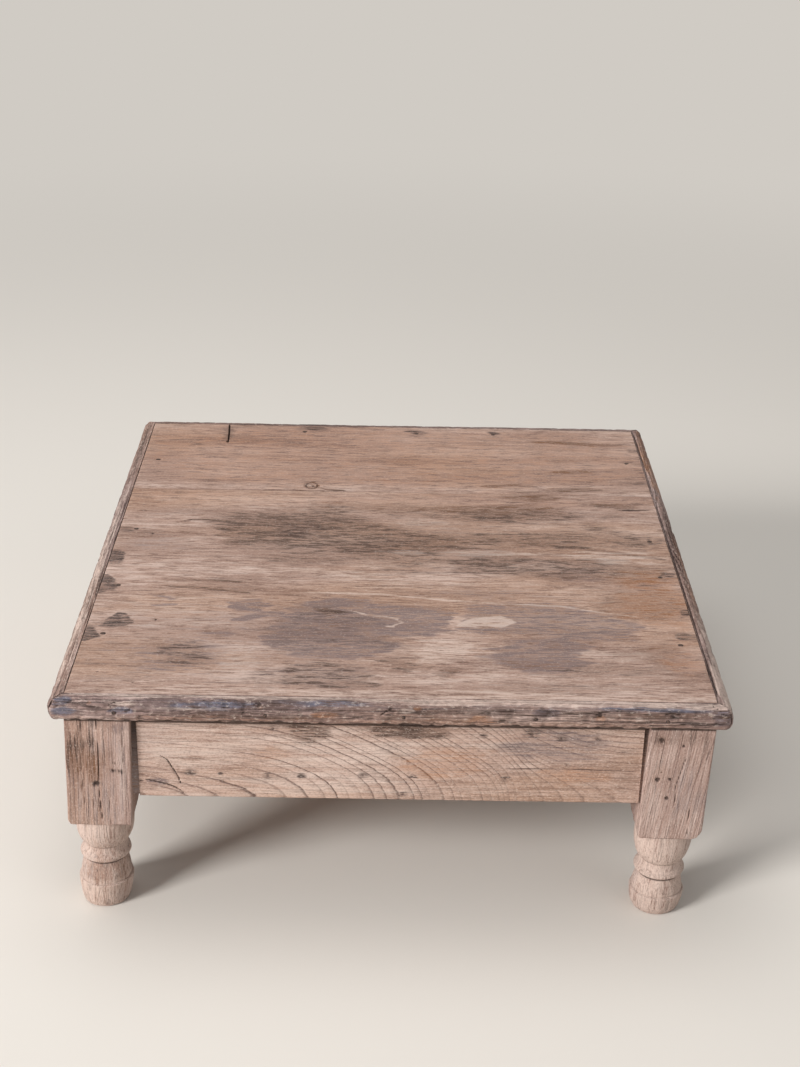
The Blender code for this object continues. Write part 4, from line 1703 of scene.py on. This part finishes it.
def front_board_marks() -> FaceMarks:
    """Stains, splits and nail seats of the front board."""
    curved_line = ((-198, 32.2), (-184, 38.7), (-167, 39.4), (-149, 36.4))
    upper_scratch = ((-199, -82), (-165, -82), (-128, -85))
    lower_scratch = ((-198, -93), (-159, -97), (-118, -105))
    stains = tinted(Stain, {
        SOOT: (
            (-80, 18, 74, 36, 0.6), (-23, -13, 48, 28, 0.7), (-144, -7, 24, 16, 0.6),
            (-107, 23, 56, 61, 0.4), (37, -7, 66, 39, 0.5), (-85, -39, 70, 24, 0.4),
            (-31, 74, 130, 26, 0.45), (110, 62, 190, 44, 0.6), (104, 64, 74, 31, 0.5),
            (137, 99, 70, 15, 0.75), (206, 83, 58, 12, 0.85), (175, 8, 170, 36, 0.5),
            (135, -50, 230, 54, 0.6), (94, -47, 110, 30, 0.4), (-142, -94, 74, 31, 0.35),
            (214, -107, 84, 84, 0.5), (214, -196, 56, 34, 0.45), (-60, -165, 130, 90, 0.35),
            (125, -180, 150, 100, 0.2), (0, 5, 330, 130, 0.3), (-190, 60, 110, 30, 0.25),
            (-94, -244, 50, 34, 0.4), (179, -226, 96, 18, 0.45), (-205, -245, 60, 18, 0.35),
            (120, -252, 130, 16, 0.35),
        ),
        SLATE: (
            (-80, 18, 60, 31, 0.6), (163, -63, 76, 31, 0.55), (70, -100, 150, 20, 0.3),
            (-215, -15, 60, 50, 0.3), (-140, -190, 230, 150, 0.3), (-166, -210, 60, 46, 0.35),
            (-50, -240, 84, 36, 0.35),
        ),
        PALE: (
            (191, -16, 100, 8, 0.5), (113, -44, 22, 9, 0.6), (0, -267, 540, 15, 0.5),
            (-176, -132, 86, 50, 0.3), (-120, -225, 36, 70, 0.4), (73, -219, 26, 70, 0.4),
            (178, -201, 66, 24, 0.45), (213, -36, 62, 8, 0.6), (-84, -62, 150, 14, 0.45, -3),
            (10, -80, 190, 10, 0.4, -4), (30, 40, 90, 10, 0.4), (-160, -160, 110, 10, 0.45, 3),
            (90, -22, 180, 12, 0.5), (186, -26, 130, 9, 0.55),
        ),
        RUST: (
            (225, -108, 80, 125, 0.55), (238, -215, 40, 50, 0.4), (215, -196, 60, 40, 0.3),
            (150, -72, 190, 34, 0.25), (0, 90, 640, 60, 0.35),
        ),
        IRON: ((-240, 16, 18, 11, 0.5), (-219, 13, 22, 9, 0.4)),
    })
    stains += tinted(Patch, {
        SOOT: (
            (((-163, 38), (-142, 56), (-96, 58), (-59, 68), (-21, 44), (7, 28), (43, 14), (70, -5),
              (33, -27), (-11, -35), (-55, -24), (-100, -18), (-145, -14)), 0.65, 9.0, 12.0, 16.0),
            (((-187, -196), (-174, -184), (-150, -187), (-142, -206), (-149, -231), (-164, -235),
              (-182, -220)), 0.5, 6.0, 7.0),
            (((-83, -225), (-56, -219), (-25, -224), (-7, -238), (-13, -259), (-47, -261),
              (-78, -259)), 0.55, 6.0, 7.0),
            (((-66, -132), (-48, -127), (-42, -136), (-55, -142)), 0.95),
            (((34, -224), (50, -224), (49, -242), (36, -242)), 0.7),
            (((-7, -214), (7, -208), (18, -217), (16, -234), (-1, -233)), 0.5),
        ),
        SLATE: (
            (((-99, -172), (-89, -138), (-81, -121), (-52, -111), (-31, -113), (7, -120), (40, -126),
              (52, -133), (47, -164), (31, -174), (7, -177), (5, -190), (-5, -202), (-25, -212),
              (-49, -211), (-73, -209), (-93, -201)), 0.8, 3.5, 7.0, 18.0),
            (((61, -122), (82, -116), (116, -115), (149, -119), (174, -129), (204, -150), (201, -175),
              (168, -176), (136, -173), (88, -171), (57, -168)), 0.6, 3.5, 7.0, 18.0),
            (((82, -179), (104, -174), (144, -174), (159, -193), (152, -222), (131, -235), (100, -236),
              (81, -224), (76, -204)), 0.66, 3.5, 7.0, 18.0),
            (((-138, -122), (-123, -116), (-111, -115), (-100, -127), (-108, -136),
              (-130, -137)), 0.75, 2.0, 3.0),
            (((-149, -175), (-138, -172), (-125, -176), (-134, -181)), 0.7),
            (((-202, -108), (-190, -109), (-186, -115), (-192, -120)), 0.9),
        ),
        PALE: (
            (((22, -181), (43, -176), (61, -183), (62, -204), (54, -219), (30, -219),
              (18, -206)), 0.55, 3.0, 4.0),
            (((12, -232), (30, -227), (47, -231), (45, -256), (14, -258)), 0.4, 3.0, 4.0),
            (((65, -143), (79, -138), (92, -137), (100, -143), (105, -149), (91, -158), (68, -159),
              (53, -157), (55, -152)), 0.85, 1.8, 1.4, 3.0),
        ),
        IRON: (
            (((-250, -27), (-244, -25), (-237, -30), (-234, -47), (-238, -53),
              (-248, -55)), 0.9, 1.6, 1.8, 2.5),
            (((-250, -73), (-244, -74), (-234, -91), (-233, -99), (-246, -111),
              (-250, -107)), 0.9, 1.6, 1.8, 2.5),
            (((-238, -166), (-233, -152), (-226, -142), (-219, -143), (-210, -158), (-217, -166),
              (-229, -169)), 0.9, 1.6, 1.8, 2.5),
            (((-249, -167), (-244, -166), (-234, -183), (-245, -191), (-250, -190)), 0.9, 1.6, 1.8, 2.5),
            (((232, 15), (248, 14), (246, 1), (231, 1)), 0.6, 3.0, 2.0, 5.0),
            (((233, -52), (248, -54), (245, -65), (232, -64)), 0.7, 2.2, 2.0, 4.0),
            (((240, -123), (250, -119), (250, -131), (241, -136)), 0.85, 1.8, 1.4, 3.0),
            (((231, -161), (250, -164), (250, -175), (231, -176)), 0.75, 2.0, 1.6, 3.0),
            (((235, -224), (251, -225), (251, -236), (235, -236)), 0.5, 3.0, 2.0, 4.0),
        ),
    })
    stains += tinted(Stroke, {
        SLATE: (
            (((-201, -129), (-190, -128), (-179, -127)), 4.0, 0.9),
            (((-131, -153), (-107, -142), (-89, -138)), 9.0, 0.8),
        ),
        SOOT: (
            (upper_scratch, 5.0, 0.8), (lower_scratch, 5.0, 0.85), (curved_line, 4.5, 0.8),
            (((124, -3), (168, -8), (203, -17), (242, -29)), 7.0, 0.65),
            (((-249, 19.8), (-242, 19.4), (-234, 19.2)), 6.0, 0.9),
        ),
        IRON: ((((208, 75.6), (224, 75.0), (243, 76.0)), 5.0, 0.6, 1.0),),
        PALE: (
            (((-37, -132), (-29, -136), (-21, -140), (-6, -143), (5, -146), (7, -152), (1, -159),
              (-7, -159)), 3.4, 0.8),
            (((-78, -102), (-10, -103), (49, -112), (91, -117), (141, -119), (174, -129),
              (214, -138)), 4.6, 0.6),
        ),
    })
    splits = several(Split, (
        (((212, 75.4), (222, 75.0), (232, 75.5), (242, 76.0)), 2.8, 1.8), (curved_line, 1.5, 0.6),
        (lower_scratch, 0.9, 0.35), (upper_scratch, 0.8, 0.3),
    ))
    pits = several(Pit, (
        (-193.3, -153.2, 1.5, 1.2), (-227.4, -238.5, 1.4, 1.0), (-198, -254, 1.3, 0.8),
        (-188, -254, 1.1, 0.6), (-129.6, -258, 1.1, 0.6), (-216.6, 9.0, 1.8, 1.0),
    ))
    dents = several(Pit, ((-241, -41, 9.0), (-240, -92, 11.0), (-222, -157, 12.0)), depth=0.2, rim=0.2)
    return FaceMarks(stains, splits, pits + nail_seats("top_board_front"), dents)


def back_board_marks() -> FaceMarks:
    """Stains, splits and nail seats of the back board."""
    turns = np.linspace(0.3, 6.5, 17)
    ring = tuple((KNOT[0] + 5.6 * math.cos(turn), KNOT[1] + 6.6 * math.sin(turn)) for turn in turns)
    stains = tinted(Stain, {
        SOOT: (
            (183, 234, 104, 9, 0.5, -4), (60, 244, 160, 6, 0.3), (181, 163, 46, 13, 0.8),
            (179, 120, 56, 10, 0.6), (169, 189, 40, 8, 0.5), (135, 112, 70, 9, 0.5),
            (-140, 230, 80, 7, 0.3), (-150, 190, 90, 8, 0.25), (40, 150, 120, 8, 0.25),
        ),
        IRON: (
            (-170, 250, 15, 44, 0.55), (-80, 265, 36, 13, 0.7), (23.5, 259, 20, 15, 0.8),
            (101.4, 260, 16, 13, 0.75), (243, 218, 18, 10, 0.6), (240.7, 138, 18, 10, 0.6),
            (240, 186, 16, 12, 0.35), (-240, 178, 14, 12, 0.3),
        ),
        RUST: ((0, 195, 640, 190, 0.45, 0, 0.3, 0.2),),
        SLATE: ((-225, 165, 60, 90, 0.3), (-70, 150, 90, 50, 0.25)),
        PALE: ((-120, 200, 240, 40, 0.25), (-79, 121.0, 7, 7, 0.6, 0, 0.3, 0.1)),
    })
    stains += several(Stroke, (
        (ring, 7.0, 1.0, 0.0), (((136, 237), (173, 238.5), (203, 232), (236, 233)), 9.0, 0.75),
        (((146, 117), (175, 118), (203, 121)), 8.0, 0.75),
        (((84, 124), (110, 127), (138, 126)), 9.0, 0.75),
        (((-73, 115), (-62, 111), (-44, 108.4)), 5.0, 0.8),
        (((-126, 108.2), (-86, 107.8), (-46, 108.2)), 3.4, 0.8),
    ), tint=SOOT)
    splits = several(Split, (
        (ring, 2.2, 0.75), (((-171, 277), (-169, 250), (-168, 226)), 2.1, 3.0),
        (((196, 131), (220, 135)), 0.9, 0.7), (((60, 109), (110, 108.6), (150, 109.4)), 0.9, 0.6),
    ))
    pits = several(Pit, ((-168.3, 226.3, 2.2, 4.0), (-76.5, 119.0, 2.0, 1.0), (246, 150, 1.6, 1.0)))
    return FaceMarks(stains, splits, pits + nail_seats("top_board_back"))


def front_strip_marks() -> FaceMarks:
    """Dents, holes, stains and a painted highlight of the front strip."""
    worn_rim = (
        (-262, 15.5), (-200, 14.5), (-130, 14.0), (-60, 13.5), (0, 12.5), (60, 11.5), (120, 11.0),
        (190, 10.5), (262, 10.0), (262, 30.0), (-262, 30.0),
    )
    stains = tinted(Stain, {
        SLATE: (
            (-176, 9, 62, 11, 0.75), (-80, 10, 44, 9, 0.85), (0, 8.5, 600, 9, 0.55),
            (213, 4.5, 15, 8, 0.8), (14, 8, 26, 6, 0.6), (90, 9, 90, 6, 0.5),
        ),
        BLUED: (
            (-252, 10.5, 16, 8, 0.9), (-248, 1, 22, 7, 0.9), (-132, 8.5, 62, 9, 0.75),
            (-58, 11, 66, 6, 0.7), (118, 5.4, 22, 8, 0.95), (207, 9.6, 110, 4, 0.8),
            (-204, 2.4, 17, 7, 0.85), (252, 3, 18, 14, 0.7),
        ),
        SOOT: (
            (118, 5, 17, 6, 0.7), (252, 2, 16, 12, 0.6), (130, 5, 320, 8, 0.6), (-80, 10, 34, 6, 0.5),
            (-220, 8, 90, 6, 0.35), (60, -1, 420, 4, 0.35), (-160, -2, 260, 4, 0.3),
        ),
        PALE: (
            # The thin pale streak at (-225, 4.4) is a painted highlight along the nose's round
            (0, 19.4, 700, 6.4, 0.6), (-204, 8.4, 22, 4.5, 0.7), (-225, 4.4, 62, 2.4, 0.35),
            (10, 6, 12, 5, 0.6), (188, 2.2, 6, 5, 0.8), (-150, 5, 90, 2.4, 0.45), (40, 12, 90, 3, 0.4),
        ),
        RUST: (
            (0, -5.5, 640, 9, 0.4), (-52, 0.8, 21, 5, 0.7), (67, -1.4, 24, 8, 0.75), (20, 8.6, 7, 4, 0.8),
            (158.5, 1.8, 10, 5, 0.8), (-99, 7, 6, 4, 0.8), (-228, 8, 5, 4, 0.6),
        ),
    })
    stains.append(Patch(worn_rim, 0.66, 2.2, 3.0, tint=PALE))
    splits = several(Split, (
        (((-256, 5.4), (-235, 5.0), (-215, 5.7)), 1.0, 0.6),
        (((-208, 10.2), (-212.5, 7.6), (-211, 4.0)), 1.4, 0.9),
        (((-203, 0.2), (-197.5, 2.2), (-196.5, 6.0)), 1.2, 0.7),
        (((-192, -2.7), (-175, -0.5), (-156, 1.1)), 1.1, 0.6),
        (((-142, 12.6), (-138, 13.4), (-134, 12.4)), 1.3, 0.7),
        (((-128, 5.8), (-124.5, 6.8), (-121, 5.9)), 1.3, 0.7),
        (((-8, 1.8), (-4.5, 4.6), (-0.6, 7.2)), 1.6, 1.1),
        (((124, 4.4), (150, 6.5), (172, 8.4)), 1.3, 0.8), (((172, 8.4), (205, 7.6), (248, 9.0)), 1.0, 0.6),
        (((191.6, -4.8), (225, -3.6), (256, -1.5)), 1.5, 1.6),
        (((66, 4.2), (71, 6.0), (76, 5.0)), 1.3, 0.8),
        (((-104, 9.0), (-101, 11.4), (-96.5, 11.0)), 1.4, 0.9),
        (((154, 4.6), (157, 6.2), (162, 5.4)), 1.4, 0.9), (((207, 6.0), (212, 7.6), (219, 6.2)), 1.4, 0.8),
        (((228, 3.0), (236, 4.0), (246, 3.2)), 1.1, 0.7),
        (((248, 15.5), (251, 10.0), (257, 5.0)), 1.3, 0.9),
        (((-40, -3.0), (-10, -2.0), (30, -3.4)), 0.9, 0.5),
    ))
    pits = several(Pit, (
        (-243.8, 9.8, 2.2, 0.6, 0.2), (-228.6, 9.0, 2.1, 0.6, 0.2), (-111, 8.5, 2.2, 0.6, 0.2),
        (-99.6, 9.4, 2.6, 1.1, 0.2), (-83, 3.7, 2.1, 0.6, 0.2), (-0.6, 7.2, 2.3, 1.1, 0.2),
        (158, 4.4, 2.8, 0.9, 0.2), (213, 4.5, 3.8, 0.6, 0.1), (119, 6.0, 3.6, 0.6, 0.1),
    ))
    dents = several(Pit, (
        (-205, 5.0, 8.5, 1.0), (118, 5.0, 9.0, 0.8), (-52, 0.5, 8.0, 0.7), (67, 0.0, 9.0, 0.7),
        (-160, -5.0, 5.0, 0.6), (35, -4.0, 5.0, 0.6),
    ), rim=0.3)
    return FaceMarks(stains, splits, pits, dents + brad_seats(Side.FRONT))


def side_strip_marks(side: Side) -> FaceMarks:
    """Stains, splits and dents of a side or back strip, the left one's pale stains being partly a painted
    highlight.

    Args:
        side: The side that the strip lies on.

    Returns:
        Its marks.
    """
    stains = {
        Side.LEFT: {
            SOOT: ((-180, 12, 200, 12, 0.5), (0, -2, 580, 10, 0.45)),
            SLATE: ((60, 4, 460, 6, 0.4),),
            # On the left strip the pale stains, toward the front corner and along the upper edge, are
            # partly its pale wood and partly a painted highlight where the key lamp falls
            PALE: ((120, 9, 320, 6, 0.7), (60, 15, 420, 1.6, 0.6), (40, 12, 380, 8, 0.5)),
        },
        Side.RIGHT: {
            SOOT: ((60, 11, 300, 12, 0.5),),
            RUST: ((190, 10, 190, 16, 0.7), (0, -5, 560, 9, 0.4), (-60, 9, 200, 8, 0.4)),
            PALE: ((-200, 9, 150, 12, 0.8), (-255, 9, 70, 14, 0.9)),
        },
        Side.BACK: {SLATE: ((0, 4, 520, 20, 0.75),), SOOT: ((0, 14, 540, 8, 0.7),)},
    }
    splits = {
        Side.LEFT: (
            (((-268, 13.4), (-200, 14.2), (-120, 13.0), (-30, 14.0), (60, 13.2), (150, 14.1),
              (266, 13.3)), 0.9, 0.6),
            (((-266, 16.9), (-180, 16.4), (-60, 17.0), (40, 16.4), (140, 17.0), (262, 16.5)), 1.0, 0.8),
        ),
        Side.RIGHT: (
            (((-266, 17.0), (-180, 17.4), (-60, 17.0), (80, 17.5), (262, 17.2)), 1.1, 0.9),
            (((-6, 16.0), (-22, 12.0), (-40, 9.0)), 1.2, 1.1),
            (((-14, 17.0), (-32, 14.4), (-54, 13.0)), 1.1, 1.0),
        ),
        Side.BACK: ((((-120, 6.0), (-60, 6.8), (10, 6.2)), 0.9, 0.7),),
    }
    shared_split = (((60, 2.0), (140, 1.2), (190, 1.8)), 0.8, 0.6)
    dents = several(Pit, ((40, 7.0, 4.0, 1.0), (-30, 5.0, 5.0, 0.8), (150, 6.5, 3.0, 0.9)), rim=0.3)
    marked = several(Split, (*splits[side], shared_split))
    return FaceMarks(tinted(Stain, stains[side]), marked, [], dents + brad_seats(side))


def front_apron_marks() -> FaceMarks:
    """Spots, cracks, stains and painted shade of the front apron, from its middle and its lower edge."""
    spots = (
        (-155.5, 23.5, 9), (-132, 22.6, 4), (-95, 21, 7), (-69, 21.4, 6), (-21, 22.3, 8), (-90.4, 64, 8),
        (17.3, 22, 6), (10.6, 5.6, 6), (72, 60.7, 6), (108.8, 62.3, 12), (132, 59, 7), (160, 59.6, 5),
        (90, 21.5, 8), (137.5, 34.5, 5),
    )
    stains = tinted(Stain, {
        IRON: [(x, y, size * 1.3, size * 0.8, 0.7, 0, 0.55, 0.6) for x, y, size in spots],
        SOOT: (
            (-65, 61, 36, 16, 0.9), (19, 63, 56, 16, 1.0), (19, 65, 36, 12, 0.8), (-165, 58, 34, 20, 0.25),
            # The long band at height 70 is painted shade under the top's overhang
            (185, 30, 22, 50, 0.3), (0, 70, 400, 7, 0.35),
        ),
        SLATE: ((-183, 13.8, 16, 6, 0.8), (-180, 50, 36, 30, 0.35), (128, 52, 80, 26, 0.55)),
        RUST: (
            (-92, 42, 36, 12, 0.5), (42, 36, 76, 30, 0.65), (148, 26, 60, 16, 0.55),
            (-120, 36, 50, 10, 0.3),
        ),
        PALE: ((-150, 36, 90, 24, 0.4), (-160, 52, 110, 44, 0.5), (40, 10, 180, 12, 0.35)),
    })
    splits = several(Split, (
        (((-178, 38), (-173, 34.4), (-168, 25), (-164.7, 18.3), (-163, 12)), 1.2, 1.2),
        (((-195.6, 14.4), (-188.6, 15.4), (-181.8, 13.7), (-173.4, 11.5), (-167.8, 9.1),
          (-160, 3.4)), 1.4, 1.2),
        (((90, 30.8), (140, 31.2), (191.5, 29.9)), 0.9, 0.9),
        (((150, 17), (170, 13), (192, 10)), 0.8, 0.5),
    ))
    pits = [Pit(x, y, size * 0.26, 0.6, 0.3) for x, y, size in spots]
    return FaceMarks([overhang_shade(73.0, 900), *stains], splits, pits)


def left_leg_marks() -> FaceMarks:
    """Marks on the front of the left front leg, from its axis and the floor."""
    stains = tinted(Stain, {
        SOOT: ((-13, 152, 26, 44, 0.75), (8, 178, 24, 10, 0.4), (-4, 142, 30, 34, 0.5)),
        SLATE: ((2, 130, 60, 110, 0.4), (15.6, 175, 14, 9, 0.8)),
        RUST: ((-6, 140, 28, 36, 0.45),),
        IRON: ((-0.9, 123.8, 8, 6, 0.8), (15, 135.7, 11, 5, 0.8)),
    })
    splits = several(Split, (
        (((-0.5, 183), (0.5, 150), (0, 120), (2.5, 86)), 0.9, 0.9),
        (((19, 176), (19.5, 150), (18, 128)), 0.7, 0.6), (((-12, 183), (-13, 140), (-11, 100)), 0.7, 0.6),
        (((11, 170), (11.5, 140)), 0.7, 0.5), (((-5, 120), (-3.5, 88)), 0.7, 0.6),
        (((8, 110), (9, 86)), 0.7, 0.6),
    ))
    pits = several(Pit, ((-0.9, 123.8, 2.0, 1.1), (12, 136, 1.4, 0.8), (16.2, 135.7, 1.4, 0.8)))
    return FaceMarks([overhang_shade(185.7, 200), *stains], splits, pits)


def right_leg_marks() -> FaceMarks:
    """Marks on the front of the right front leg, from its axis and the floor."""
    stains = tinted(Stain, {
        SOOT: ((0, 174, 46, 14, 0.45), (-18, 170, 12, 10, 0.5)),
        SLATE: ((4, 122, 40, 60, 0.4),),
        RUST: ((-14, 140, 14, 18, 0.35),),
    })
    splits = several(Split, (
        (((5, 156), (3.2, 149), (-0.3, 129), (0.9, 108.7)), 1.1, 0.8),
        (((12.6, 112.7), (13.7, 84)), 0.8, 0.8), (((1, 100), (0.5, 82)), 0.7, 0.6),
    ))
    pits = several(Pit, (
        (-15.2, 171.2, 1.6, 1.1), (1.6, 166, 1.7, 1.2), (-15, 135.5, 1.6, 1.1), (-5.7, 136, 1.5, 1.0),
        (-6.4, 118, 1.6, 1.1),
    ))
    return FaceMarks([overhang_shade(185.7, 200), *stains], splits, pits)


def wooden_pieces() -> list[Piece]:
    """The boards, strips, aprons and legs."""
    return [
        TopBoard(
            "top_board_front", 11, front_board_marks(), wander=0.012, front_reach=0.00026,
            y_focus=((0.0754, 0.0012, 4.0), (0.0380, 0.0008, 2.0), (-0.094, 0.012, 0.6)),
        ),
        TopBoard(
            "top_board_back", 23, back_board_marks(), wander=0.006, rows=126, columns=340, knot=KNOT,
            x_focus=((-0.1695, 0.006, 2.5), (-0.078, 0.012, 1.2)),
            y_focus=((0.109, 0.0015, 2.5), (0.1204, 0.010, 0.8)),
        ),
        EdgeStrip(
            "edge_strip_front", 31, Side.FRONT, front_strip_marks(), step=0.001, roughness=0.85, mottle=0.5
        ),
        EdgeStrip("edge_strip_right", 32, Side.RIGHT, side_strip_marks(Side.RIGHT)),
        EdgeStrip("edge_strip_back", 33, Side.BACK, side_strip_marks(Side.BACK)),
        EdgeStrip("edge_strip_left", 34, Side.LEFT, side_strip_marks(Side.LEFT)),
        Apron(
            "apron_front", 41, Side.FRONT, 0.0033, front_apron_marks(), step=0.0009, rows=84,
            z_focus=((0.1388, 0.0012, 2.5),), cathedral=True,
        ),
        Apron("apron_right", 42, Side.RIGHT, 0.0012),
        Apron("apron_back", 43, Side.BACK, 0.0033),
        Apron("apron_left", 44, Side.LEFT, 0.0012),
        Leg(
            "leg_front_left", 51, True, True, left_leg_marks(), shift=0.0027, lip_lift=0.0022,
            vase_darkening=0.55, knocked=(0.005, 0.002), cuts=60, rows=80,
        ),
        Leg(
            "leg_front_right", 52, False, True, right_leg_marks(), shift=-0.0027, lip_lift=-0.0011,
            slant=0.08, furrow=0.16, vase_darkening=0.2, knocked=(0.0035, 0.010), cuts=60, rows=80,
        ),
        Leg("leg_back_left", 53, True, False),
        Leg("leg_back_right", 54, False, False),
    ]


def fixings() -> list[Piece]:
    """The pegs, nails and brads, in the order of their names."""
    made = []
    for seed, node in enumerate(sorted(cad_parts), FIRST_FIXING_SEED):
        kind, side = node.split("_")[:2]
        if kind == "peg":
            made.append(Peg(node, seed, Side[side.upper()]))
        elif kind in NAIL_SIZES:
            made.append(Nail(node, seed, *NAIL_SIZES[kind]))
    return made


def main() -> None:
    """Builds the studio and every piece of the table."""
    logging.basicConfig(level=logging.INFO, format="%(message)s")
    Studio().build()
    workshop = Workshop(FINISHES)
    for piece in (*wooden_pieces(), *fixings()):
        piece.build(workshop)


if __name__ == "__main__":
    main()
